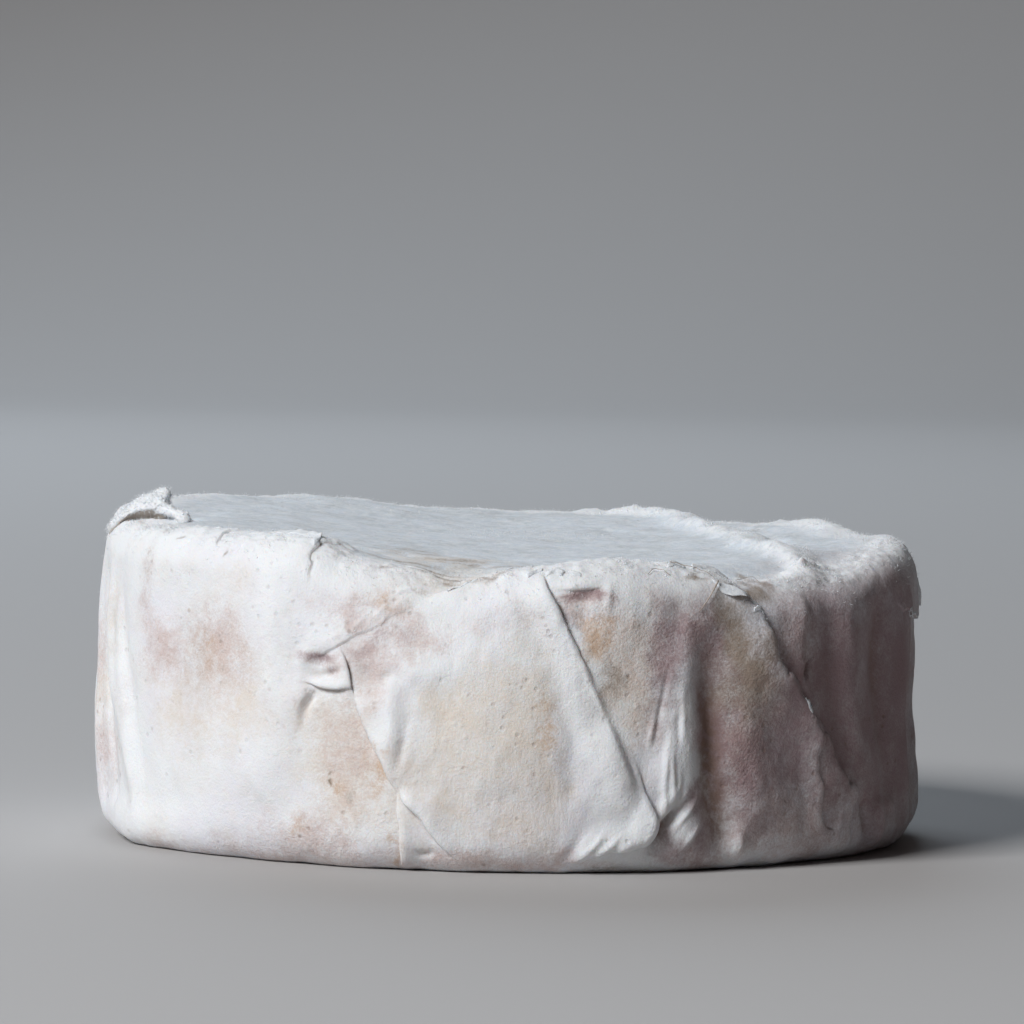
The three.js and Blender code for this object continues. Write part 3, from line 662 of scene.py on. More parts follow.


# Besides the shape, the relief paints light and shade. It darkens troughs and the lower layer under each
# lap's edge, where shade falls, and whitens ridges and the upper layer at each edge, where light falls; on
# the laps' edges that white is partly the bloom's own fringe.
def relief(s, v, place):
    """Everything that stands out of the plain body: out, slip round, slip up, the painted shade in creases
    and the painted highlight, with bloom, on edges.
    """
    x, y, z = place.T
    out, slip_s, slip_v, crease_shade, edge = (np.zeros(len(s)) for _ in range(5))
    for name, line in lap_lines.items():
        lap = LAPS[name]
        for lap_line in copies_near(s, line):
            near, gap, rise, right = beside_line(s, v, lap_line, lap["fade"])
            gap, right = gap * lap["hand"], right * lap["hand"]
            upper = gap >= 0
            far = np.abs(gap)
            lip = (1 - LIP_DROP * bell(gap, LIP_ROUND)) * (1 - ramp(far / lap["fade"], 0.0, 1.0))
            sharp = rise * lap.get("firm", 1.0)
            out[near] += np.where(upper, rise * lip, -GULLY_DEPTH * sharp * np.exp(-far / GULLY_WIDTH))
            hang = np.where(upper, -LIP_HANG * np.exp(-far / LIP_REACH),
                            TUCK_UNDER * np.exp(-far / TUCK_REACH))
            slip_s[near] += hang * sharp * right[:, 0]
            slip_v[near] += hang * sharp * right[:, 1]
            painted_shade = np.minimum(lap.get("painted_shade", 1.0) * sharp, 1)
            crease_shade[near] += np.where(upper, 0.0, painted_shade * np.exp(-far / CREASE_SHADE_WIDTH))
            edge[near] += np.where(upper, np.minimum(rise, 1) * lap.get("pale", 1.0)
                                   * np.exp(-(far - EDGE_PLACE) ** 2 / EDGE_SPREAD), 0.0)
    for line, step in step_lines:
        soft = step["soft"]
        for step_line in copies_near(s, line):
            near, gap, rise, _ = beside_line(s, v, step_line, step["fade"])
            gap = gap * step["hand"]
            drop = ramp(gap, -soft, soft) * (1 - ramp(gap / step["fade"], 0.0, 1.0))
            out[near] += rise * (drop - STEP_UNDERCUT * bell(gap + soft, soft))
            crease_shade[near] += STEP_MARK * np.minimum(rise, 1) * bell(gap + soft, soft)
            edge[near] += STEP_MARK * np.minimum(rise, 1) * bell(gap - soft, soft)
    warp_s = wavered(s, s, v, [(0.6, 5, 7, 31), (0.25, 1.7, 2.6, 32)])
    warp_v = wavered(v, s, v, [(0.6, 5, 7, 33)])
    for line, width in fold_lines:
        at_s, at_v = (s, v) if width < FINE_WIDTH else (warp_s, warp_v)
        for fold_line in copies_near(s, line):
            near, gap, height, _ = beside_line(at_s, at_v, fold_line, FOLD_REACH * width)
            lift = height * bell(gap, width)
            out[near] += lift
            crease_shade[near] += np.maximum(-lift, 0) * FOLD_MARK
            edge[near] += np.maximum(lift, 0) * FOLD_MARK
    on_top = ramp(v, 40, 46)
    lumps = layered_noise(x / 4.2, y / 4.2, 0 * x, 35, 3)
    bend_x = wavered(x, x, y, [(1.1, 5, 5, 36), (0.5, 1.9, 1.9, 37)])
    bend_y = wavered(y, x, y, [(1.1, 5, 5, 38), (0.5, 1.9, 1.9, 39)])
    for line, fold in top_lines:
        reach = FOLD_REACH * max(fold["inner"], fold["outer"])
        near, gap, height, right = beside_line(bend_x, bend_y, line, reach)
        nearest = np.stack([bend_x[near], bend_y[near]], 1) - gap[:, None] * right
        inward = np.hypot(bend_x[near], bend_y[near]) < np.hypot(*nearest.T)
        width = np.where(inward, fold["inner"], fold["outer"])
        lift = height * bell(gap, width) * (1 + fold["rough"] * lumps[near]) * on_top[near]
        out[near] += lift
        crease_shade[near] += np.maximum(-lift, 0) * TOP_FOLD_MARK
        edge[near] += np.maximum(lift, 0)
    for amount, size, drawn, seed in UNEVENNESS:
        out += amount * layered_noise(x / size, y / size, z / size / (1 + drawn * (1 - on_top)), seed, 2)
    out += RIM_CRUMBLE * bell(v - RIM_MIDDLE, 3.5) * layered_noise(x / 1.1, y / 1.1, z / 1.1, 77, 2)
    return out, slip_s, slip_v, crease_shade, edge


FOOT_PRESSED = 0.85         # share of the relief that the wheel's weight pressed flat under it
MAT_DEPTH, MAT_RIBS, MAT_RIB_WIDTH, MAT_RIB_LENGTH = 0.12, 0.1, 0.9, 6      # print of the mat in the foot
SMALL_STEP = 0.05           # over which the slope of the body is measured


def rind(s, v):
    """The finished rind: its place in millimetres, and how much painted shade in creases and painted
    highlight, with bloom, on edges it takes.
    """
    out, slip_s, slip_v, crease_shade, edge = relief(s, v, body_place(s, v))
    on_foot = 1 - ramp(v, -1.5, 2.5)
    out *= 1 - FOOT_PRESSED * on_foot
    s, v_at = s + slip_s, v + slip_v
    moved = body_place(s, v_at)
    along = body_place(s + SMALL_STEP, v_at) - moved
    upward = body_place(s, v_at + SMALL_STEP) - body_place(s, v_at - SMALL_STEP)
    normal = np.cross(along, upward)
    normal /= np.linalg.norm(normal, axis=1)[:, None] + 1e-12
    place = moved + out[:, None] * normal
    x, y = place[:, 0], place[:, 1]
    print_depth = (MAT_DEPTH + MAT_RIBS * noise(x / MAT_RIB_WIDTH, y / MAT_RIB_LENGTH, x * 0, 81)
                   + MAT_RIBS * noise(x / MAT_RIB_LENGTH, y / MAT_RIB_WIDTH, x * 0, 82))
    place[:, 2] = np.maximum(place[:, 2], np.maximum(print_depth, 0) * (1 - ramp(v, -5.5, -3.5)))
    return place, np.clip(crease_shade, 0, 1), np.clip(edge, 0, 1)


# Patches of colour: [place round, place up, half width, half height, strength]. Beige, ochre and olive are
# stains that show through the bloom; the pinkish ones are stains and painted shade, the purplish-brown ones
# painted shade, and the white ones bloom with painted highlight.
COLOUR_PATCHES = {
    # pinkish-brown stains, and painted shade: the patches under the laps' edges, in the hollows and round the
    # right side stand in for shade, and those along the foot for warm light reflected from below
    "pink_stain_and_painted_light": [
        (-53, 27, 5, 4, 0.8), (-41, 28, 6, 6, 0.8), (-57, 33, 3, 8, 0.5), (-62, 20, 3, 6, 0.3),
        (-21, 34.2, 5.5, 2.4, 0.8), (-15, 36.4, 3, 1.6, 0.5), (-24, 26.8, 2, 1.4, 0.6),
        (-18.6, 28.2, 2.2, 2.6, 0.5), (-20, 18, 6, 8, 0.6), (0, 35, 8, 3, 0.4), (-19, 28.8, 3, 2.6, 0.6),
        (-15, 31.4, 3.4, 2.6, 0.6), (-10.5, 34, 4, 2.4, 0.5), (-50, 1.5, 12, 2.6, 0.45),
        (-30, 1.6, 13, 2.4, 0.65), (14, 30, 5, 7, 0.45), (-26, 6, 8, 3, 0.8), (-10, 3, 10, 2, 0.6),
        (2, 3.2, 12, 1.8, 0.75), (9.2, 37.2, 3, 1.0, 1.0), (10, 34.5, 2, 3, 0.6), (19, 32, 4, 5, 0.5),
        (17, 22, 3, 6, 0.3), (25, 33, 3, 4, 0.6), (0, 9, 14, 7, 0.2), (33, 22, 4.5, 12, 0.8),
        (41, 33, 4, 6, 0.7), (47, 24, 6, 14, 0.6), (60, 22, 9, 17, 0.6), (74, 20, 8, 15, 0.5),
        (40, 8, 9, 6, 0.7), (24, 4, 5, 3, 0.6)],
    "beige": [
        (1, 22, 8, 10, 0.85), (4, 12, 5, 6, 0.7), (-7, 25, 5, 4, 0.6), (-7, 15, 5, 8, 0.45),
        (-34, 22, 8, 7, 0.5), (-20, 16, 7, 9, 0.85), (15, 26, 5, 9, 0.6), (-14, 56, 16, 9, 0.65),
        (-6, 45, 10, 3, 0.6), (-18, 38, 6, 3.4, 0.4), (-9, 41, 6, 2, 0.5), (-48, 20, 8, 7, 0.4),
        (-40, 22, 14, 13, 0.3), (15.5, 29, 3.5, 6, 0.7), (-40, 37, 8, 2, 0.3), (-8, 10, 5, 5, 0.5)],
    "ochre": [
        (5.6, 20.5, 2.8, 4.4, 0.7), (-16.6, 17.2, 1.1, 4.2, 0.9), (-26.5, 7.3, 1.6, 1.2, 0.6),
        (-14, 7, 0.8, 1.3, 0.8), (11.0, 31.6, 2.2, 4.0, 0.85), (-21, 12.6, 1.2, 1.8, 0.5),
        (-32.6, 17.6, 3, 3, 0.2), (-43, 27, 4, 4, 0.35), (-13.9, 3.4, 0.6, 2.4, 0.7),
        (-16.4, 36.0, 1.8, 1.2, 0.5)],
    "olive": [
        (31.5, 28, 3.6, 9, 1.0), (30, 34, 3, 5, 0.8), (31, 17, 3, 6, 0.5), (36, 34, 3, 3, 0.5),
        (34, 40, 3, 1.6, 0.8), (8.0, 35.4, 0.7, 0.9, 0.8), (13.2, 26, 1.5, 1.8, 0.55),
        (40.5, 25, 1, 2.5, 0.7), (-29.6, 32, 1, 2, 0.3), (15, 1.8, 5, 1.2, 0.5), (-9, 43.0, 8, 1.1, 0.8),
        (-2, 42.2, 4, 0.7, 0.5), (-18, 41.5, 4, 0.8, 0.6), (-13, 39.6, 4, 0.6, 0.5), (-17, 49, 8, 1.1, 0.8),
        (-8, 53, 9, 1.2, 0.75), (-12, 46.5, 6, 0.8, 0.8), (0, 50.5, 7, 0.9, 0.7), (-18, 61, 14, 1.4, 0.65),
        (-12, 57, 11, 1.1, 0.7), (-26, 66, 14, 1.6, 0.5), (6, 56, 10, 1.0, 0.45),
        (-22.6, 14.2, 0.6, 0.5, 1.0), (-22.0, 12.7, 0.5, 0.5, 1.0), (-19.2, 12, 0.5, 1.4, 0.5),
        (-73, 47.5, 3, 1.4, 0.8), (33.2, 41.2, 2.4, 1.2, 0.9), (36.0, 44.0, 1.6, 2.0, 0.8),
        (-51, 39.6, 0.9, 0.35, 0.8), (-40, 39.7, 0.45, 0.8, 0.8), (-50, 43.4, 9, 0.8, 0.3),
        (-58, 42.0, 6, 1.0, 0.3), (26.5, 40.8, 1, 0.8, 0.8), (38.4, 41.6, 1.6, 2.4, 0.8),
        (38.6, 47, 1.2, 2.4, 0.7), (-36, 41.6, 5, 0.5, 0.4), (-57, 38, 2, 6, 0.35)],
    # painted shade: these purplish-brown patches stand in for the shade on the right side and in the hollows
    # under the laps' edges
    "mauve_shade": [
        (23.6, 33.0, 3.6, 5, 0.7), (19.6, 26, 3.0, 8, 0.55), (9.6, 37.3, 3, 0.7, 0.8),
        (8.6, 34.6, 0.8, 1.6, 0.5), (27.2, 19, 2.6, 15, 1.0), (33, 15, 4.4, 10, 0.8),
        (39.5, 24, 5, 15, 0.9), (48, 24, 6, 22, 1.0), (58, 22, 7, 23, 1.0), (68, 22, 8, 23, 1.0),
        (80, 22, 12, 20, 0.7), (96, 24, 13, 15, 0.4), (20.5, 4.6, 3, 2.4, 0.7),
        (-20.2, 29.0, 2.2, 1.4, 0.4), (-17, 31.0, 2.6, 1.3, 0.4), (-13.5, 33.2, 2.8, 1.3, 0.35),
        (-24.8, 27.0, 1.7, 1.0, 0.8), (20.5, 30, 3.0, 5, 0.45), (-26.8, 21.6, 0.7, 2.2, 0.35),
        (24.8, 6.0, 2.4, 3.6, 0.6)],
    # bloom, with highlight painted in where bands, bulges and ridges face the light
    "white": [
        (7.4, 31, 1.7, 5, 0.8), (9.6, 25, 2.2, 5, 0.9), (12, 18, 2.6, 5.5, 0.9), (14, 11, 3, 5, 0.9),
        (12, 5.6, 4, 1.6, 0.8), (-21.5, 38.8, 5.5, 2.2, 1.0), (-22.0, 32.0, 1.8, 0.8, 0.8),
        (-18.6, 34.2, 2.0, 0.8, 0.8), (-31, 30, 3.4, 12, 0.8), (-33, 12, 5, 6, 0.5),
        (21.2, 14, 1.6, 5, 0.8), (-15.6, 22, 1.6, 5, 0.7), (-52, 12, 5, 8, 0.5)],
}
ROUND_THE_BACK = dict(count=34, seed=23, first=70.0, last=278.0)


def patch_strength(s, v, patches):
    """How strongly a set of patches colours each place, their outlines bent by the unevenness of the rind."""
    s = wavered(s, s, v, [(1.6, 4, 4, 91), (0.7, 1.4, 1.4, 92)])
    v = wavered(v, s, v, [(1.6, 4, 4, 93), (0.7, 1.4, 1.4, 94)])
    clear = np.ones(len(s))
    for place_s, place_v, half_width, half_height, strength in patches:
        across = (s - place_s + TURN / 2) % TURN - TURN / 2
        clear *= 1 - strength * np.exp(-(across / half_width) ** 2 - ((v - place_v) / half_height) ** 2)
    return 1 - clear


patch_maker = np.random.default_rng(ROUND_THE_BACK["seed"])
for index in range(ROUND_THE_BACK["count"]):
    name = ("pink_stain_and_painted_light", "beige", "pink_stain_and_painted_light", "ochre", "beige", "olive")[index % 6]
    size = 0.35 if name in ("ochre", "olive") else 1.0
    COLOUR_PATCHES[name].append((patch_maker.uniform(ROUND_THE_BACK["first"], ROUND_THE_BACK["last"]),
                         patch_maker.uniform(2, 38), size * patch_maker.uniform(3, 9),
                         size * patch_maker.uniform(3, 8), patch_maker.uniform(0.4, 0.8)))


def matching(points, column, value, order):
    """Indices of the points whose column has that value, in the order of another column."""
    chosen = np.nonzero(np.abs(points[:, column] - value) < 1e-4)[0]
    return chosen[np.argsort(points[chosen, order])]


# Closing the strip into a ring: the right-hand seam takes the left-hand seam's points
left_seam = matching(found, 0, -half_turn, 1)
right_seam = matching(found, 0, half_turn, 1)
same = np.arange(len(found))
same[right_seam] = left_seam
top_ring = matching(found, 1, RUN_HIGH, 0)[:-1]
foot_ring = matching(found, 1, RUN_LOW, 0)[:-1]


def fill_disc(ring, radius, spacing, seed):
    """Points and triangles that fill a ring of the strip's points, in the plane of its radius."""
    angle = found[ring, 0] / SIDE_RADIUS
    edge_points = np.stack([radius * np.sin(angle), -radius * np.cos(angle)], 1)
    x, y = lattice(-radius, radius, -radius, radius, lambda a, b: np.full(len(a), spacing), seed)
    inside = np.hypot(x, y) < radius - 0.6 * spacing
    points = np.vstack([edge_points, np.stack([x[inside], y[inside]], 1)])
    count = len(ring)
    edges = [(k, (k + 1) % count) for k in range(count)]
    _, _, faces, _, _, _ = delaunay_2d_cdt([Vector(p) for p in points], edges, [], 1, 1e-6)
    return points, np.array([tuple(f) for f in faces])


top_points, top_faces = fill_disc(top_ring, SHOULDER_RADIUS - TOP_BAND, COARSE, seed=6)
foot_points, foot_faces = fill_disc(foot_ring, FOOT_RADIUS - FOOT_BAND, COARSEST, seed=7)
inner_top = top_points[len(top_ring):]
inner_foot = foot_points[len(foot_ring):]
all_s = np.concatenate([found[:, 0], SIDE_RADIUS * np.arctan2(inner_top[:, 0], -inner_top[:, 1]),
                        SIDE_RADIUS * np.arctan2(inner_foot[:, 0], -inner_foot[:, 1])])
all_v = np.concatenate([found[:, 1], TOP_MIDDLE - np.hypot(*inner_top.T),
                        np.hypot(*inner_foot.T) - FOOT_RADIUS])
first_top, first_foot = len(found), len(found) + len(inner_top)
top_index = np.concatenate([same[top_ring], first_top + np.arange(len(inner_top))])
foot_index = np.concatenate([same[foot_ring], first_foot + np.arange(len(inner_foot))])
triangles = np.vstack([same[side_faces], top_index[top_faces], foot_index[foot_faces][:, ::-1]])
used, triangles = np.unique(triangles, return_inverse=True)
triangles = triangles.reshape(-1, 3)
all_s, all_v = all_s[used], all_v[used]
place, crease_shade, edge = rind(all_s, all_v)

wheel_mesh = bpy.data.meshes.new("cheese_rind")
wheel_mesh.from_pydata((place * MM).tolist(), [], triangles.tolist())
wheel_mesh.shade_smooth()
on_rim = bell(all_v - RIM_MIDDLE, 4.5)
on_top = ramp(all_v, RIM_MIDDLE, 48)
patches = {name: patch_strength(all_s, all_v, places) for name, places in COLOUR_PATCHES.items()}
# White of the bloom, with painted highlight: the rim keeps its own bloom, while edges, ridges and the white
# patches also get highlight painted in where they face the light.
RIM_BLOOM, EDGE_BLOOM_AND_HIGHLIGHT, PATCH_BLOOM_AND_HIGHLIGHT = 0.8, 0.7, 0.85
bloom_and_highlight = np.clip(RIM_BLOOM * on_rim + EDGE_BLOOM_AND_HIGHLIGHT * edge + PATCH_BLOOM_AND_HIGHLIGHT * patches["white"], 0, 1)
# where olive and beige stains and the painted purplish shade run from faint to strong, so much of the white
# is lost
for name, lost, faint, strong, where in (("olive", 0.8, 0.2, 0.7, 1), ("beige", 0.65, 0.25, 0.6, on_rim),
                                         ("mauve_shade", 0.7, 0.3, 0.8, 1 - on_rim)):
    bloom_and_highlight *= 1 - lost * ramp(patches[name], faint, strong) * where
# Marks for the rind's look: the first holds the pinkish patches (stains and painted shade) and the beige and
# ochre stains, the second the olive stain, the painted shade in creases and the bloom with its painted
# highlight, and the fourth the painted purplish shade.
marks = {
    "stain_and_shade": (patches["pink_stain_and_painted_light"], patches["beige"], patches["ochre"]),
    "skin": (patches["olive"], crease_shade, bloom_and_highlight),
    "unfolded": (all_s, all_v, on_top),
    "shade_tint": (patches["mauve_shade"], 0, 0),
}


def set_marks(mesh, marks):
    """Gives the mesh the marks that the rind's look reads, each three numbers for every point."""
    for name, values in marks.items():
        attribute = mesh.attributes.new(name, "FLOAT_VECTOR", "POINT")
        columns = [np.broadcast_to(value, len(mesh.vertices)) for value in values]
        attribute.data.foreach_set("vector", np.stack(columns, 1).astype(np.float32).ravel())


set_marks(wheel_mesh, marks)


def add_object(name, data):
    """A new object of the scene that shows a mesh, a light or a lens."""
    made = bpy.data.objects.new(name, data)
    bpy.context.scene.collection.objects.link(made)
    return made


wheel = add_object("cheese_rind", wheel_mesh)


def add_node(tree, kind, inputs=(), **settings):
    """Adds a node to a tree; inputs are (socket, value or the output that feeds it)."""
    made = tree.nodes.new(kind if kind.startswith(("Geometry", "Function")) else "ShaderNode" + kind)
    for key, value in settings.items():
        setattr(made, key, value)
    for socket, value in inputs:
        if isinstance(value, bpy.types.NodeSocket):
            tree.links.new(value, made.inputs[socket])
        else:
            made.inputs[socket].default_value = value
    return made


def add_math(tree, operation, first, second=0.0):
    return add_node(tree, "Math", [(0, first), (1, second)], operation=operation).outputs[0]


def add_noise(tree, where, scale, detail=2.0, roughness=0.5):
    return add_node(tree, "TexNoise", [("Vector", where), ("Scale", scale), ("Detail", detail),
                                       ("Roughness", roughness)]).outputs[0]


def add_range(tree, value, low, high, to_low=0.0, to_high=1.0):
    return add_node(tree, "MapRange", [("Value", value), ("From Min", low), ("From Max", high),
                                       ("To Min", to_low), ("To Max", to_high)],
                    interpolation_type="SMOOTHSTEP").outputs[0]


def add_mix(tree, share, first, second):
    return add_node(tree, "Mix", [(0, share), (6, first), (7, second)], data_type="RGBA").outputs[2]


# How fine each pattern of the rind is, in cells for each metre
FELT, TUFTS, PORES, POROUS_PLACES = 3200, 700, 620, 210
CLOUDS, MOTTLES, COOL_PLACES, CRUMBS, PIMPLES, WRINKLED_PLACES = 190, 900, 70, 1800, 640, 60

# Mould: the fine felt of the bloom, its larger tufts and its pores
mould = bpy.data.node_groups.new("mould_felt", "ShaderNodeTree")
mould.interface.new_socket("Place", in_out="INPUT", socket_type="NodeSocketVector")
for name in ("Felt", "Tufts", "Pores", "Height"):
    mould.interface.new_socket(name, in_out="OUTPUT", socket_type="NodeSocketFloat")
mould_in, mould_out = mould.nodes.new("NodeGroupInput"), mould.nodes.new("NodeGroupOutput")
felt = add_noise(mould, mould_in.outputs[0], FELT, 3, 0.65)
tufts = add_noise(mould, mould_in.outputs[0], TUFTS, 3, 0.6)
pore_cell = add_node(mould, "TexVoronoi", [("Vector", mould_in.outputs[0]), ("Scale", PORES)])
chosen = add_range(mould, add_noise(mould, mould_in.outputs[0], POROUS_PLACES, 1), 0.50, 0.62)
pores = add_math(mould, "MULTIPLY", add_range(mould, pore_cell.outputs["Distance"], 0.26, 0.08), chosen)
height = add_math(mould, "ADD", add_math(mould, "MULTIPLY", felt, 0.5),
                  add_math(mould, "MULTIPLY", tufts, 0.5))
height = add_math(mould, "SUBTRACT", height, add_math(mould, "MULTIPLY", pores, 0.35))
for socket, value in zip(mould_out.inputs, (felt, tufts, pores, height)):
    mould.links.new(value, socket)

# Colours: the pinkish one serves stains, painted shade and painted warm light, the purplish-brown one is
# painted shade, the top's grey has painted cool light in it, and the deepest brown is painted shade in
# creases as well as the pores' specks.
WHITE, IVORY = (0.865, 0.885, 0.905, 1), (0.80, 0.77, 0.72, 1)
PINK_STAIN_AND_PAINTED_LIGHT, BEIGE = (0.62, 0.49, 0.46, 1), (0.75, 0.67, 0.58, 1)
OCHRE, OLIVE, MAUVE_SHADE = (0.60, 0.42, 0.28, 1), (0.31, 0.245, 0.19, 1), (0.33, 0.222, 0.234, 1)
TOP_COOL_LIT_GREY, TOP_SHADE = (0.665, 0.725, 0.79, 1), (0.55, 0.595, 0.625, 1)
SHADE_AND_SPECK_BROWN, LILAC = (0.24, 0.15, 0.10, 1), (0.76, 0.73, 0.82, 1)


def add_look(name, values):
    """A new material whose shader has these values, its node tree and the shader's sockets."""
    look = bpy.data.materials.new(name)
    look.use_nodes = True
    sockets = look.node_tree.nodes["Principled BSDF"].inputs
    for socket, value in values.items():
        sockets[socket].default_value = value
    return look, look.node_tree, sockets


SKIN_GLOW = (1.0, 0.75, 0.6)        # how far red, green and blue light run under the skin, as shares
rind_look, tree, paint = add_look("white_mould_rind", {
    "Roughness": 0.88, "Specular IOR Level": 0.3, "Sheen Weight": 0.15, "Sheen Roughness": 0.45,
    "Subsurface Weight": 0.35, "Subsurface Radius": SKIN_GLOW, "Subsurface Scale": 0.0012})
object_place = add_node(tree, "TexCoord").outputs["Object"]
felt_node = tree.nodes.new("ShaderNodeGroup")
felt_node.node_tree = mould
tree.links.new(object_place, felt_node.inputs[0])
felt, tufts, pores, height = felt_node.outputs


def read_marks(name):
    """The marks of that name as one vector, and its three numbers."""
    vector = add_node(tree, "Attribute", attribute_name=name).outputs["Vector"]
    return vector, add_node(tree, "SeparateXYZ", [(0, vector)]).outputs


_, (pink_stain_and_painted_light_mark, beige_mark, ochre_mark) = read_marks("stain_and_shade")
_, (olive_mark, crease_shade_mark, bloom_and_highlight_mark) = read_marks("skin")
unfolded, (_, _, top_share) = read_marks("unfolded")
_, (mauve_shade_mark, _, _) = read_marks("shade_tint")


def times(first, second):
    return add_math(tree, "MULTIPLY", first, second)


def plus(first, second):
    return add_math(tree, "ADD", first, second)


# how the stains break up: cloudy at 5 mm, mottled at 1 mm
cloud = add_noise(tree, object_place, CLOUDS, 3, 0.6)
mottle = add_noise(tree, object_place, MOTTLES, 3, 0.6)
grain = plus(add_range(tree, mottle, 0.3, 0.7, -0.13, 0.13), add_range(tree, felt, 0.3, 0.7, -0.2, 0.2))
broken = plus(add_range(tree, cloud, 0.3, 0.7, -0.2, 0.2), grain)


def stain_and_shade_share(amount, strongest, broken_up):
    """The share of a patch's colour, stains and painted shade alike: its patch, broken up by the clouds and
    mottles.
    """
    parts = times(broken, add_range(tree, amount, 0.02, 0.4, 0.0, broken_up))
    uneven = plus(amount, parts)
    return add_range(tree, uneven, 0.05, 1.0, 0.0, strongest)


cool = add_range(tree, add_noise(tree, object_place, COOL_PLACES, 2), 0.4, 0.65, 0.0, 0.35)
colour = add_mix(tree, cool, WHITE, LILAC)
colour = add_mix(tree, add_range(tree, cloud, 0.45, 0.75, 0.0, 0.35), colour, IVORY)
# The top: a grey made bluer than the side's white, painted for the cool light that falls on it from behind
# and above.
top_cool_lit_colour = add_mix(tree, add_range(tree, cloud, 0.35, 0.7), TOP_COOL_LIT_GREY, TOP_SHADE)
top_cool_lit_colour = add_mix(tree, add_range(tree, mottle, 0.38, 0.66, 0.0, 0.45), top_cool_lit_colour, WHITE)
colour = add_mix(tree, top_share, colour, top_cool_lit_colour)
# Stains over it; the pinkish one also carries painted shade, and painted warm light at the foot.
for mark, strongest, broken_up, stain_colour in (
        (beige_mark, 0.85, 0.6, BEIGE), (pink_stain_and_painted_light_mark, 0.8, 0.7, PINK_STAIN_AND_PAINTED_LIGHT), (ochre_mark, 0.8, 0.8, OCHRE),
        (olive_mark, 0.95, 0.5, OLIVE)):
    colour = add_mix(tree, stain_and_shade_share(mark, strongest, broken_up), colour, stain_colour)
tuft_share = times(add_range(tree, tufts, 0.47, 0.66, 0.0, 0.45),
                   add_range(tree, bloom_and_highlight_mark, 0.0, 1.0, 0.6, 1.0))
darkened = plus(olive_mark, mauve_shade_mark)
tuft_share = times(tuft_share, add_range(tree, darkened, 0.1, 0.9, 1.0, 0.15))
colour = add_mix(tree, tuft_share, colour, WHITE)
crumbs = add_noise(tree, object_place, CRUMBS, 2, 0.6)
crumbled = add_range(tree, pink_stain_and_painted_light_mark, 0.15, 0.7)
crumb_share = times(add_range(tree, crumbs, 0.54, 0.68, 0.0, 0.25), crumbled)
crumb_share = times(crumb_share, add_range(tree, darkened, 0.1, 0.6, 1.0, 0.0))
colour = add_mix(tree, crumb_share, colour, WHITE)
# Painted shade: the purplish-brown darkens the right side and the hollows under the laps, over the bloom's
# white too.
colour = add_mix(tree, stain_and_shade_share(mauve_shade_mark, 0.92, 0.4), colour, MAUVE_SHADE)
# White of the bloom, with the painted highlight of edges, ridges and the white patches.
bloom_and_highlight_share = times(add_range(tree, bloom_and_highlight_mark, 0.1, 0.8, 0.0, 0.85),
                    add_range(tree, mottle, 0.3, 0.55, 0.3, 1.0))
colour = add_mix(tree, bloom_and_highlight_share, colour, WHITE)
# Painted shade: brownish darkening down the creases and under the laps' edges.
crease_shade_share = times(add_range(tree, crease_shade_mark, 0.15, 0.9, 0.0, 0.75),
                     add_range(tree, mottle, 0.3, 0.6, 0.5, 1.0))
colour = add_mix(tree, crease_shade_share, colour, SHADE_AND_SPECK_BROWN)
# Small specks in the pores, in the same deep brown.
pore_share = times(pores, add_range(tree, pink_stain_and_painted_light_mark, 0.0, 0.6, 0.12, 0.45))
colour = add_mix(tree, pore_share, colour, SHADE_AND_SPECK_BROWN)
tree.links.new(colour, paint["Base Color"])

# small wrinkles run up and down the wrapped side, drawn out along it
WRINKLE_DRAW = (1.0, 0.16, 0.0)
SKIN_DEPTH = 0.00022        # depth of felt, wrinkles, pimples and crumbs together, in metres
wrinkled = add_node(tree, "VectorMath", [(0, unfolded), (1, WRINKLE_DRAW)],
                    operation="MULTIPLY").outputs[0]
wrinkles = add_noise(tree, wrinkled, 1.1, 3, 0.6)
wrinkles = times(wrinkles, add_math(tree, "SUBTRACT", 1.0, top_share))
pimple_cell = add_node(tree, "TexVoronoi", [("Vector", object_place), ("Scale", PIMPLES)])
pimples = times(add_range(tree, pimple_cell.outputs["Distance"], 0.34, 0.05),
                add_range(tree, cloud, 0.48, 0.62))
drawn = add_range(tree, add_noise(tree, object_place, WRINKLED_PLACES, 2), 0.45, 0.7, 0.05, 0.45)
fine = plus(height, times(wrinkles, drawn))
fine = plus(fine, times(pimples, 0.25))
crumb_height = times(add_range(tree, crumbs, 0.4, 0.68, 0.0, 0.18), crumbled)
fine = plus(fine, crumb_height)
bump = add_node(tree, "Bump", [("Strength", 1.0), ("Distance", SKIN_DEPTH), ("Height", fine)])
tree.links.new(bump.outputs[0], paint["Normal"])
wheel_mesh.materials.append(rind_look)


def unit(vectors):
    return vectors / np.linalg.norm(vectors, axis=1)[:, None]


def strip_faces(rows, columns, first=0, closed=False):
    """Quads of a grid of points, row by row; closed joins the last column to the first."""
    faces = []
    for i in range(rows - 1):
        for j in range(columns if closed else columns - 1):
            k = (j + 1) % columns
            a, b = first + i * columns, first + (i + 1) * columns
            faces.append((a + j, a + k, b + k, b + j))
    return faces


OFF_AXIS = (0.31, 0.17, 0.93)       # a direction that no rod runs in


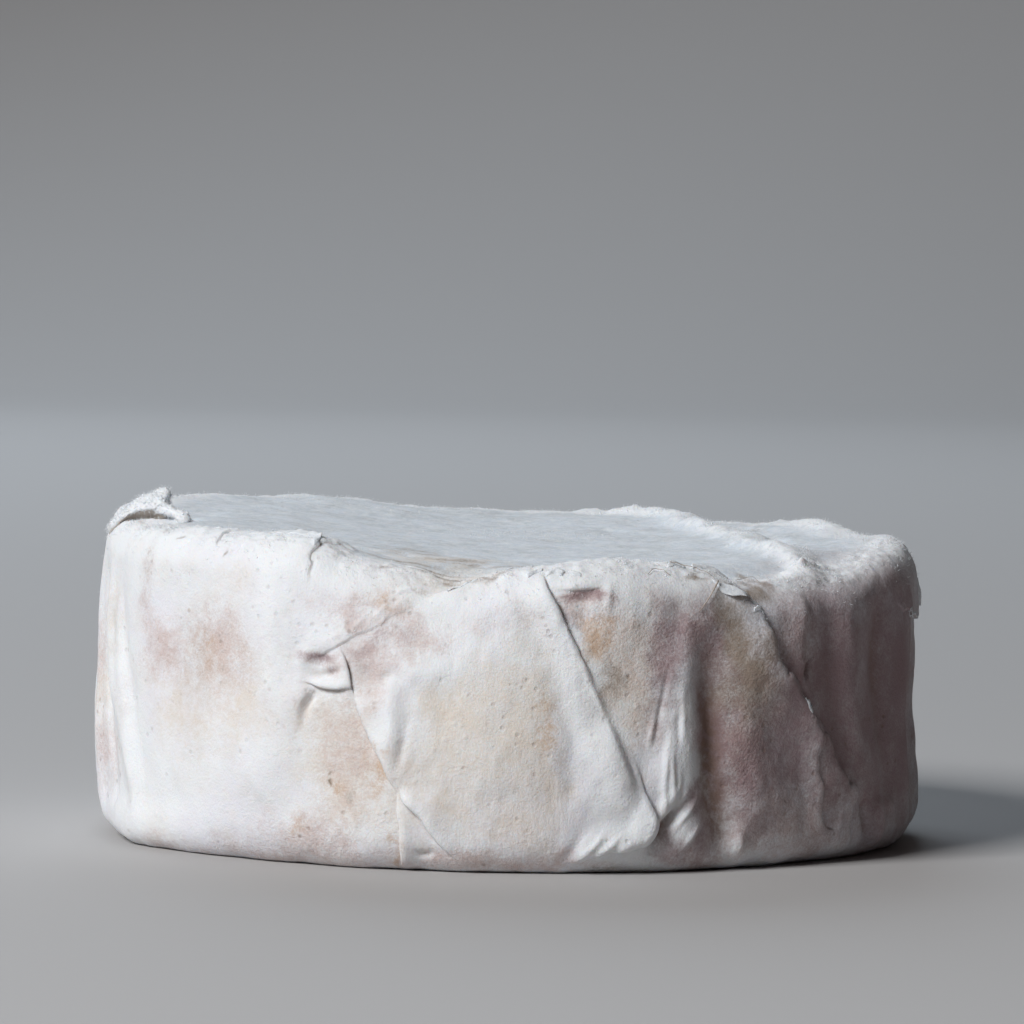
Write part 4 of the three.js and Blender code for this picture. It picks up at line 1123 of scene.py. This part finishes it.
def rod(axis, radii, sides, first):
    """Places and faces of a round rod along an axis, closed at both ends."""
    along = unit(np.gradient(axis, axis=0))
    across = unit(np.cross(along, OFF_AXIS))
    over = np.cross(along, across)
    turn = np.arange(sides) * 2 * math.pi / sides
    ring = np.cos(turn)[None, :, None] * across[:, None] + np.sin(turn)[None, :, None] * over[:, None]
    faces = strip_faces(len(axis), sides, first, closed=True)
    faces.append(tuple(first + k for k in range(sides))[::-1])
    faces.append(tuple(first + (len(axis) - 1) * sides + k for k in range(sides)))
    return (axis[:, None] + radii[:, None, None] * ring).reshape(-1, 3), faces


def closed_mesh(name, places, faces):
    """A smooth mesh of closed skins, all their faces turned outward."""
    mesh = bpy.data.meshes.new(name)
    mesh.from_pydata((places * MM).tolist(), [], faces)
    work = bmesh.new()
    work.from_mesh(mesh)
    bmesh.ops.recalc_face_normals(work, faces=work.faces)
    work.to_mesh(mesh)
    work.free()
    mesh.shade_smooth()
    return mesh


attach(wheel, "root")
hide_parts("cheese_wheel")

# ---------------------------------------------------------------------------
# The torn lip. At the left of the rim the cloth pulled up a strip of rind when it came off. The
# strip dried where it stood, arched over like a wave: white outside, olive in its hollow.
# Both ends and its back run into the rind.
# ---------------------------------------------------------------------------
LIP_CREST = [(-53.2, -4.0, 40.0), (-52.4, -5.4, 41.2), (-51.3, -6.6, 42.3), (-49.8, -8.0, 43.9),
             (-48.3, -9.2, 44.9), (-47.2, -10.3, 45.4), (-46.2, -11.2, 45.5), (-45.6, -12.0, 44.9),
             (-45.1, -12.8, 43.8), (-44.7, -13.4, 42.4)]
LIP_FRONT = [(-53.3, -6.2, 40.2), (-52.6, -8.4, 41.0), (-51.4, -10.4, 42.0), (-50.2, -11.6, 42.8),
             (-48.8, -12.4, 43.2), (-47.4, -13.0, 43.4), (-46.5, -13.5, 43.3), (-45.8, -13.9, 42.9),
             (-45.3, -14.2, 42.4), (-44.9, -14.5, 42.0)]
LIP_ROOT = 39.6             # height at which the lip's back goes into the rind
LIP_STEPS = 7
LIP_GROOVE, LIP_TOE, LIP_BASE = (0.3, 1.7, -0.3), (0.3, 1.9, -1.8), (0.6, 1.5, -3.8)
LIP_SHUT = (0.15, 0.15, -0.7)       # stands in for the groove where the strip lies closed on the rind
# The strip's rolled-up knob and the arm that curls down from it: [x, y, z, radius]
LIP_KNOB = [(-47.3, -10.7, 43.9, 0.4), (-46.7, -11.1, 44.7, 0.8), (-46.1, -11.6, 45.1, 1.0),
            (-45.6, -12.1, 45.0, 0.9), (-45.3, -12.5, 44.4, 0.4)]
LIP_ARM = [(-46.8, -12.7, 43.0, 0.3), (-46.0, -13.5, 43.3, 0.6), (-45.2, -14.2, 43.3, 0.7),
           (-44.4, -15.0, 43.0, 0.65), (-43.6, -15.8, 42.6, 0.7), (-42.9, -16.6, 42.3, 0.8),
           (-42.3, -17.2, 42.1, 0.45)]
LIP_BACK = (1.4, 3.6, 0)    # from the crest to the lip's back, before that goes down to the root
LIP_ROUGH, LIP_FINE_ROUGH = 0.16, 0.09
lip_loops = []
for index, (crest_point, front_point) in enumerate(zip(np.array(LIP_CREST), np.array(LIP_FRONT))):
    opened = ramp(index, 0.5, 3)
    groove = opened * np.array(LIP_GROOVE) + (1 - opened) * np.array(LIP_SHUT)
    back = crest_point + LIP_BACK
    back[2] = LIP_ROOT
    shoulder = 0.62 * crest_point + 0.38 * back + (0.1, 0.4, 0.5)
    brow = 0.5 * (crest_point + front_point) + (-0.3, -0.5, 0.2)
    under = [front_point + part for part in (groove, LIP_TOE, LIP_BASE)]
    lip_loops.append(np.array([back, shoulder, crest_point, brow, front_point, *under, back]))
lip_sections = np.array([curve(loop, 5)[:-1] for loop in lip_loops])
lip_grid = curve(lip_sections.reshape(len(lip_sections), -1), LIP_STEPS).reshape(-1, lip_sections.shape[1], 3)
lip_rows, lip_columns = lip_grid.shape[:2]
middle = lip_grid.mean(1, keepdims=True)
closing = np.sqrt(np.clip((lip_rows - 1 - np.arange(lip_rows)) / 6.0, 0.02, 1))[:, None, None]
lip_grid = middle + (lip_grid - middle) * closing
lip_faces = strip_faces(lip_rows, lip_columns, closed=True)
lip_faces.append(tuple(range(lip_columns)))
lip_faces.append(tuple((lip_rows - 1) * lip_columns + k for k in range(lip_columns)))
lip_parts = [lip_grid.reshape(-1, 3)]
for part in (LIP_KNOB, LIP_ARM):
    part = curve(part, 6)
    places, faces = rod(part[:, :3], part[:, 3], 16, sum(len(places) for places in lip_parts))
    lip_parts.append(places)
    lip_faces += faces
lip_place = np.vstack(lip_parts)
gx, gy, gz = lip_place.T
lip_place += np.stack([LIP_ROUGH * layered_noise(gx / 1.7, gy / 1.7, gz / 1.7, 200 + 10 * axis, 2)
                       + LIP_FINE_ROUGH * layered_noise(gx / 0.5, gy / 0.5, gz / 0.5, 205 + 10 * axis, 2)
                       for axis in range(3)], 1)
across = np.tile(np.arange(lip_columns) / lip_columns, lip_rows)
inside = ramp(across, 0.52, 0.6) * (1 - ramp(across, 0.85, 0.95))
inside = np.concatenate([inside, np.zeros(len(lip_place) - len(inside))])
lip_mesh = closed_mesh("torn_lip", lip_place, lip_faces)
set_marks(lip_mesh, {"stain_and_shade": (0, inside, 0), "skin": (0.35 * inside, 0, 1 - inside), "unfolded": (0, 0, 0)})
lip_mesh.materials.append(rind_look)
lip = add_object("torn_lip", lip_mesh)
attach(lip, "root")

# ---------------------------------------------------------------------------
# Loose flakes. Thin skins of dried bloom that lifted along the torn edges of the laps and on the
# rim. Each is rooted in the rind along one edge, and its other edge curls away from it.
# ---------------------------------------------------------------------------
FLAKE_THICKNESS = 0.2
FLAKE_INSET = 0.35          # how far behind a lap's edge its flakes are rooted
FLAKE_CRUMPLE, CRUMPLE_SIZE = 0.12, 0.9
FLAKE_STEPS = 5             # steps between two points of an edge, and from the root to the free edge
# root: [place round, place up]; free: [place round, place up, lift], in the order of the root
FLAKES = [
    dict(root=[(-35.8, 43.4), (-33.4, 43.7), (-31.0, 43.6), (-29.0, 42.6), (-28.0, 41.4)],
         free=[(-35.9, 43.9, 0.1), (-33.2, 44.8, 0.35), (-30.6, 45.0, 0.55), (-28.5, 44.0, 0.5),
               (-27.7, 42.4, 0.15)]),
    dict(root=[(28.0, 39.8), (28.4, 38.8), (28.8, 37.8)],
         free=[(30.4, 39.2, 0.5), (32.0, 38.2, 1.0), (29.8, 37.7, 0.5)]),
    dict(root=[(31.3, 38.7), (31.9, 38.5), (32.5, 38.4)],
         free=[(31.3, 38.3, 0.3), (31.9, 38.1, 0.5), (32.6, 38.1, 0.2)]),
    dict(root=[(33.0, 36.6), (33.7, 36.8), (34.3, 36.4)],
         free=[(33.1, 37.0, 0.2), (33.8, 37.3, 0.4), (34.6, 36.8, 0.3)]),
    dict(root=[(5.0, 40.4), (6.0, 40.9), (7.1, 40.2)],
         free=[(5.2, 41.2, 0.15), (6.4, 41.7, 0.3), (7.4, 41.0, 0.15)]),
    dict(root=[(7.6, 41.2), (8.4, 40.4), (9.0, 39.4)],
         free=[(8.1, 41.3, 0.1), (9.0, 40.7, 0.25), (9.6, 39.8, 0.1)]),
    dict(root=[(2.6, 40.4), (3.6, 41.2), (4.6, 41.4)],
         free=[(2.5, 41.0, 0.15), (3.6, 41.8, 0.25), (4.8, 42.0, 0.1)]),
    dict(root=[(22.4, 42.2), (23.8, 42.8), (25.2, 42.6)],
         free=[(22.6, 42.8, 0.2), (24.0, 43.5, 0.4), (25.4, 43.0, 0.2)]),
    dict(root=[(26.4, 42.6), (28.4, 43.2), (30.6, 42.8), (32.4, 42.4)],
         free=[(26.6, 43.3, 0.2), (28.4, 44.0, 0.4), (30.7, 43.7, 0.45), (32.6, 42.9, 0.15)]),
    dict(root=[(83.0, 36.2), (83.3, 34.4), (83.1, 32.8)],
         free=[(83.6, 36.3, 0.15), (83.9, 34.4, 0.4), (83.7, 32.7, 0.3)]),
    dict(root=[(40.6, 25.4), (41.4, 24.3), (42.0, 23.2)],
         free=[(41.0, 25.8, 0.3), (42.1, 24.7, 0.6), (42.6, 23.5, 0.3)]),
]
TEAR_FLAKES = dict(every=2.2, seed=41, length=(0.7, 2.0), reach=(0.1, 0.4), lift=(0.05, 0.2))
tear_maker = np.random.default_rng(TEAR_FLAKES["seed"])
for name, line in lap_lines.items():
    if LAPS[name]["tear"] < 0.1 or LAPS[name].get("firm", 1.0) < 0.5 or "pale" in LAPS[name]:
        continue
    spacing = TEAR_FLAKES["every"] / LINE_SPACING
    for start in np.arange(spacing / 2, len(line) - spacing, spacing):
        k = int(start + tear_maker.uniform(-0.4, 0.4) * spacing)
        half_length = int(tear_maker.uniform(*TEAR_FLAKES["length"]) / LINE_SPACING / 2) + 1
        edge_part = line[k:k + 2 * half_length + 1:half_length]
        reach = tear_maker.uniform(*TEAR_FLAKES["reach"])
        lift = tear_maker.uniform(*TEAR_FLAKES["lift"])
        if len(edge_part) < 3 or edge_part[:, 2].min() < 0.3:
            continue
        right = right_of(edge_part) * LAPS[name]["hand"]
        rooted = edge_part[:, :2] + FLAKE_INSET * right
        freed = edge_part[:, :2] - reach * right * np.array([[0.3], [1.0], [0.4]])
        lifts = lift * np.array([0.3, 1.0, 0.4])
        FLAKES.append(dict(root=rooted.tolist(), free=np.column_stack([freed, lifts]).tolist()))
flake_places, flake_faces, flake_count = [], [], 0
for flake in FLAKES:
    root = curve(np.column_stack([flake["root"], np.zeros(len(flake["root"]))]), FLAKE_STEPS)
    free = curve(flake["free"], FLAKE_STEPS)
    free[1:-1, :2] += 0.1 * np.random.default_rng(len(flake_places)).uniform(-1, 1, (len(free) - 2, 2))
    share = np.linspace(0, 1, FLAKE_STEPS + 1)[:, None, None]
    sheet = root + (free - root) * share
    sheet[:, :, 2] = free[None, :, 2] * share[:, :, 0] ** 1.6
    rows, columns = sheet.shape[:2]
    s, v, lift = sheet.reshape(-1, 3).T
    on_rind, _, _ = rind(s, v)
    radial = np.stack([np.sin(s / SIDE_RADIUS), -np.cos(s / SIDE_RADIUS), 0 * s], 1)
    tilt = ramp(v, 38, 45)[:, None]
    outward = unit(radial * (1 - tilt) + np.array([0, 0, 1.0]) * tilt)
    upper_skin = on_rind + (lift + 0.06)[:, None] * outward
    cx, cy, cz = upper_skin.T / CRUMPLE_SIZE
    upper_skin += FLAKE_CRUMPLE * np.stack([layered_noise(cx, cy, cz, 240 + axis, 2) for axis in range(3)], 1)
    lower_skin = upper_skin - FLAKE_THICKNESS * outward
    flake_places.append(np.vstack([upper_skin, lower_skin]))
    front_side = strip_faces(rows, columns, flake_count)
    back_side = [face[::-1] for face in strip_faces(rows, columns, flake_count + rows * columns)]
    grid = np.arange(rows * columns).reshape(rows, columns)
    border = [*grid[0].tolist(), *grid[1:, -1].tolist(), *grid[-1, -2::-1].tolist(),
              *grid[-2:0:-1, 0].tolist()]
    sides = [(flake_count + b, flake_count + a, flake_count + rows * columns + a,
              flake_count + rows * columns + b)
             for a, b in zip(border, border[1:] + border[:1])]
    flake_faces += front_side + back_side + sides
    flake_count += 2 * rows * columns
flake_mesh = closed_mesh("rind_flakes", np.vstack(flake_places), flake_faces)
set_marks(flake_mesh, {"stain_and_shade": (0, 0, 0), "skin": (0, 0, 1), "unfolded": (0, 0, 0)})
flake_mesh.materials.append(rind_look)
flakes = add_object("rind_flakes", flake_mesh)
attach(flakes, "root")

# ---------------------------------------------------------------------------
# Straws and hairs. A bit of the straw mat that the wheel ripened on, and three hairs of its cloth.
# They stuck in the bloom on the rim while it grew, and stand a little clear of it.
# ---------------------------------------------------------------------------
STRAWS = [
    dict(radius=0.11, line=[(28.6, 39.4, 0.3), (27.4, 38.0, 0.35), (26.4, 36.7, 0.3), (25.3, 35.4, 0.05)]),
    dict(radius=0.05, line=[(23.0, 43.4, 0.3), (25.0, 42.9, 0.6), (26.8, 42.0, 0.6), (28.4, 40.6, 0.2)]),
    dict(radius=0.05, line=[(18.8, 40.4, 0.1), (19.8, 41.4, 0.4), (21.0, 41.3, 0.4), (22.0, 40.4, 0.1)]),
    dict(radius=0.04, line=[(33.6, 42.6, 0.1), (35.2, 43.6, 0.7), (36.6, 43.4, 0.9), (37.4, 42.4, 0.3)]),
]
STRAW_SIDES = 6
straw_places, straw_faces = [], []
for straw in STRAWS:
    s, v, lift = curve(straw["line"], 6).T
    on_rind, _, _ = rind(s, v)
    outward = unit(np.stack([np.sin(s / SIDE_RADIUS), -np.cos(s / SIDE_RADIUS), 0.7 + 0 * s], 1))
    axis = on_rind + (lift + straw["radius"])[:, None] * outward
    radii = straw["radius"] * np.linspace(1.0, 0.55, len(axis))
    places, faces = rod(axis, radii, STRAW_SIDES, sum(len(points) for points in straw_places))
    straw_places.append(places)
    straw_faces += faces
straw_mesh = closed_mesh("straw_bits", np.vstack(straw_places), straw_faces)
straw_look, straw_tree, straw_paint = add_look("dry_straw", {"Roughness": 0.6})
straw_grain = add_noise(straw_tree, add_node(straw_tree, "TexCoord").outputs["Object"], 1500, 3)
straw_colour = add_mix(straw_tree, add_range(straw_tree, straw_grain, 0.35, 0.65),
                       (0.33, 0.27, 0.22, 1), (0.50, 0.43, 0.37, 1))
straw_tree.links.new(straw_colour, straw_paint["Base Color"])
straw_bump = add_node(straw_tree, "Bump", [("Distance", 0.00004), ("Height", straw_grain)])
straw_tree.links.new(straw_bump.outputs[0], straw_paint["Normal"])
straw_mesh.materials.append(straw_look)
straws = add_object("straw_bits", straw_mesh)
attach(straws, "root")

# ---------------------------------------------------------------------------
# The fuzz of the bloom. Short mould fibres and small crumbs stand up along the rim, on the ridge
# of the top and on the edges of the laps. Each kind is one joined mesh at true size.
# ---------------------------------------------------------------------------
fuzz = np.clip(0.9 * bell(all_v - 42.5, 3.2) + 0.8 * edge * ramp(place[:, 2], 26, 37), 0, 1)
fuzz *= np.clip(0.4 + 0.9 * layered_noise(*(place / 3.0).T, 301, 2), 0, 1)
lip_fuzz = np.full(len(lip_place), 0.8, np.float32) * (1 - inside)
for mesh, amount in ((wheel_mesh, fuzz), (lip_mesh, lip_fuzz)):
    mesh.attributes.new("fuzz", "FLOAT", "POINT").data.foreach_set("value", amount.astype(np.float32))
fuzz_look, fuzz_tree, fuzz_paint = add_look("bloom_fuzz", {
    "Roughness": 0.9, "Subsurface Weight": 0.3, "Subsurface Radius": SKIN_GLOW,
    "Subsurface Scale": 0.0008})
fuzz_place = add_node(fuzz_tree, "TexCoord").outputs["Object"]
fuzz_colour = add_mix(fuzz_tree,
                      add_range(fuzz_tree, add_noise(fuzz_tree, fuzz_place, 260, 3), 0.5, 0.7, 0, 0.4),
                      WHITE, IVORY)
fuzz_tree.links.new(fuzz_colour, fuzz_paint["Base Color"])
fuzz_bump = add_node(fuzz_tree, "Bump",
                     [("Distance", 0.00005), ("Height", add_noise(fuzz_tree, fuzz_place, 3000))])
fuzz_tree.links.new(fuzz_bump.outputs[0], fuzz_paint["Normal"])


def scatter_tree(name, add_shape):
    """A tree that scatters a shape over its input by the fuzz attribute and joins the copies."""
    tree = bpy.data.node_groups.new(name, "GeometryNodeTree")
    for socket, kind in (("Geometry", "Geometry"), ("Density", "Float"), ("Least Size", "Float"),
                         ("Largest Size", "Float"), ("Lean", "Float"), ("Seed", "Int")):
        tree.interface.new_socket(socket, in_out="INPUT", socket_type="NodeSocket" + kind)
    tree.interface.new_socket("Geometry", in_out="OUTPUT", socket_type="NodeSocketGeometry")
    given, result = tree.nodes.new("NodeGroupInput").outputs, tree.nodes.new("NodeGroupOutput")
    fuzz_here = add_node(tree, "GeometryNodeInputNamedAttribute", [("Name", "fuzz")]).outputs[0]
    thickly = add_math(tree, "MULTIPLY", fuzz_here, given["Density"])
    spread = add_node(tree, "GeometryNodeDistributePointsOnFaces", [
        ("Mesh", given["Geometry"]), ("Density", thickly), ("Seed", given["Seed"])])
    most = add_node(tree, "CombineXYZ", [(0, given["Lean"]), (1, given["Lean"]), (2, math.pi)]).outputs[0]
    least = add_node(tree, "VectorMath", [(0, most), ("Scale", -1.0)], operation="SCALE").outputs[0]
    lean = add_node(tree, "FunctionNodeRandomValue", [
        (0, least), (1, most), ("Seed", given["Seed"])], data_type="FLOAT_VECTOR")
    turned = add_node(tree, "FunctionNodeRotateRotation", [
        (0, spread.outputs["Rotation"]), (1, lean.outputs[0])], rotation_space="LOCAL")
    size = add_node(tree, "FunctionNodeRandomValue", [
        (2, given["Least Size"]), (3, given["Largest Size"]), ("Seed", given["Seed"])], data_type="FLOAT")
    copies = add_node(tree, "GeometryNodeInstanceOnPoints", [
        ("Points", spread.outputs["Points"]), ("Instance", add_shape(tree)),
        ("Rotation", turned.outputs[0]), ("Scale", size.outputs[1])])
    joined = add_node(tree, "GeometryNodeRealizeInstances", [(0, copies.outputs[0])])
    painted = add_node(tree, "GeometryNodeSetMaterial", [
        ("Geometry", joined.outputs[0]), ("Material", fuzz_look)])
    tree.links.new(painted.outputs[0], result.inputs[0])
    return tree


def add_fibre(tree):
    """A bent fibre of unit length that stands on its root."""
    bow = add_node(tree, "GeometryNodeCurveQuadraticBezier", [
        ("Resolution", 3), ("Start", (0, 0, -0.1)), ("Middle", (0.1, 0, 0.55)), ("End", (0.5, 0, 0.85))])
    section = add_node(tree, "GeometryNodeCurvePrimitiveCircle", [("Resolution", 3), ("Radius", 0.05)])
    return add_node(tree, "GeometryNodeCurveToMesh", [
        ("Curve", bow.outputs[0]), ("Profile Curve", section.outputs[0]), ("Fill Caps", True)]).outputs[0]


def add_crumb(tree):
    """A lumpy crumb of about unit radius."""
    ball = add_node(tree, "GeometryNodeMeshIcoSphere", [("Radius", 1.0), ("Subdivisions", 2)])
    lumps = add_node(tree, "TexNoise", [("Scale", 1.3)])
    push = add_node(tree, "VectorMath", [
        (0, lumps.outputs["Color"]), (1, (1.3, 1.3, 0.9)), (2, (-0.65, -0.65, -0.45))],
        operation="MULTIPLY_ADD")
    return add_node(tree, "GeometryNodeSetPosition", [
        ("Geometry", ball.outputs[0]), ("Offset", push.outputs[0])]).outputs[0]


FUZZ = [
    dict(name="bloom_fibres", on=wheel_mesh, shape=add_fibre, per_mm2=7.5, least=0.12, largest=0.5, lean=0.9,
         seed=3),
    dict(name="bloom_crumbs", on=wheel_mesh, shape=add_crumb, per_mm2=0.5, least=0.04, largest=0.13,
         lean=0.6, seed=8),
    dict(name="lip_fibres", on=lip_mesh, shape=add_fibre, per_mm2=14.0, least=0.15, largest=0.6, lean=0.9,
         seed=5),
    dict(name="lip_crumbs", on=lip_mesh, shape=add_crumb, per_mm2=1.5, least=0.06, largest=0.2, lean=0.6,
         seed=9),
]
for kind in FUZZ:
    carrier = add_object("carrier", kind["on"].copy())
    tree = scatter_tree(kind["name"], kind["shape"])
    modifier = carrier.modifiers.new("scatter", "NODES")
    modifier.node_group = tree
    settings = {"Density": kind["per_mm2"] / MM ** 2, "Least Size": kind["least"] * MM,
                "Largest Size": kind["largest"] * MM, "Lean": kind["lean"], "Seed": kind["seed"]}
    for socket in tree.interface.items_tree:
        if socket.in_out == "INPUT" and socket.name in settings:
            modifier[socket.identifier] = settings[socket.name]
    evaluated = carrier.evaluated_get(bpy.context.evaluated_depsgraph_get())
    fuzz_mesh = bpy.data.meshes.new_from_object(evaluated)
    fuzz_mesh.name = kind["name"]
    carrier.modifiers.clear()
    carrier_mesh = carrier.data
    bpy.data.objects.remove(carrier)
    bpy.data.meshes.remove(carrier_mesh)
    fuzz_mesh.shade_smooth()
    piece = add_object(kind["name"], fuzz_mesh)
    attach(piece, "root")

# ---------------------------------------------------------------------------
# The studio. A pale matt floor that sweeps up into a backdrop, and a window's soft light from the left.
# It isn't part of the cheese.
# ---------------------------------------------------------------------------
FLOOR_REACH, SWEEP_START, SWEEP_RADIUS, SWEEP_HEIGHT, SWEEP_STEPS = 1.6, 1.15, 0.35, 1.4, 16
bend = np.linspace(0, math.pi / 2, SWEEP_STEPS)
profile = [(-1.4, 0.0), *zip(SWEEP_START + SWEEP_RADIUS * np.sin(bend), SWEEP_RADIUS * (1 - np.cos(bend))),
           (SWEEP_START + SWEEP_RADIUS, SWEEP_HEIGHT)]
floor_points = [(side * FLOOR_REACH, float(y), float(z)) for y, z in profile for side in (-1, 1)]
floor_faces = [(2 * k, 2 * k + 1, 2 * k + 3, 2 * k + 2) for k in range(len(profile) - 1)]
floor_mesh = bpy.data.meshes.new("floor")
floor_mesh.from_pydata(floor_points, [], floor_faces)
floor_mesh.shade_smooth()
floor = add_object("floor", floor_mesh)
floor_look, *_ = add_look("pale_floor", {"Base Color": (0.46, 0.45, 0.445, 1), "Roughness": 0.8})
floor_mesh.materials.append(floor_look)

# Lights: one large soft window to the left, a faint one behind for the far side, and a dim room
LIGHTS = [
    dict(name="window", place=(-0.91, -0.97, 1.02), size=(0.62, 0.62), power=26.5, colour=(0.985, 0.99, 1.0)),
    dict(name="room_behind", place=(-0.25, 1.05, 0.7), size=(0.8, 0.8), power=5.5, colour=(0.78, 0.89, 1.0)),
]
AIM = Vector((0, 0, 0.02))
for light in LIGHTS:
    lamp = bpy.data.lights.new(light["name"], "AREA")
    lamp.shape = "RECTANGLE"
    lamp.size, lamp.size_y = light["size"]
    lamp.energy = light["power"]
    lamp.color = light["colour"]
    holder = add_object(light["name"], lamp)
    holder.location = light["place"]
    holder.rotation_euler = (AIM - holder.location).to_track_quat("-Z", "Y").to_euler()
world = bpy.data.worlds.new("room")
world.use_nodes = True
world.node_tree.nodes["Background"].inputs["Color"].default_value = (1.0, 0.80, 0.76, 1)
world.node_tree.nodes["Background"].inputs["Strength"].default_value = 0.02
bpy.context.scene.world = world
bpy.context.scene.view_settings.view_transform = "Standard"

# Camera: a long lens a metre away and a little above the wheel, rolled slightly
CAMERA_PLACE = Vector((0.0, -1.0, 0.105))
CAMERA_PITCH, CAMERA_YAW, CAMERA_ROLL = math.radians(-3.556), math.radians(-0.0153), math.radians(0.9)
SENSOR = 36.0
PICTURE_WIDTH, FOCAL_LENGTH = 1024, 7482        # both in the picture's dots
forward = Vector((-math.sin(CAMERA_YAW) * math.cos(CAMERA_PITCH),
                  math.cos(CAMERA_YAW) * math.cos(CAMERA_PITCH), math.sin(CAMERA_PITCH)))
level = forward.cross(Vector((0, 0, 1))).normalized()
upright = level.cross(forward)
right = math.cos(CAMERA_ROLL) * level + math.sin(CAMERA_ROLL) * upright
up = math.cos(CAMERA_ROLL) * upright - math.sin(CAMERA_ROLL) * level
lens = bpy.data.cameras.new("camera")
lens.sensor_width = SENSOR
lens.lens = SENSOR * FOCAL_LENGTH / PICTURE_WIDTH
lens.clip_start, lens.clip_end = 0.05, 20
camera = add_object("camera", lens)
camera.matrix_world = Matrix((
    (right.x, up.x, -forward.x, CAMERA_PLACE.x),
    (right.y, up.y, -forward.y, CAMERA_PLACE.y),
    (right.z, up.z, -forward.z, CAMERA_PLACE.z),
    (0, 0, 0, 1)))
bpy.context.scene.camera = camera
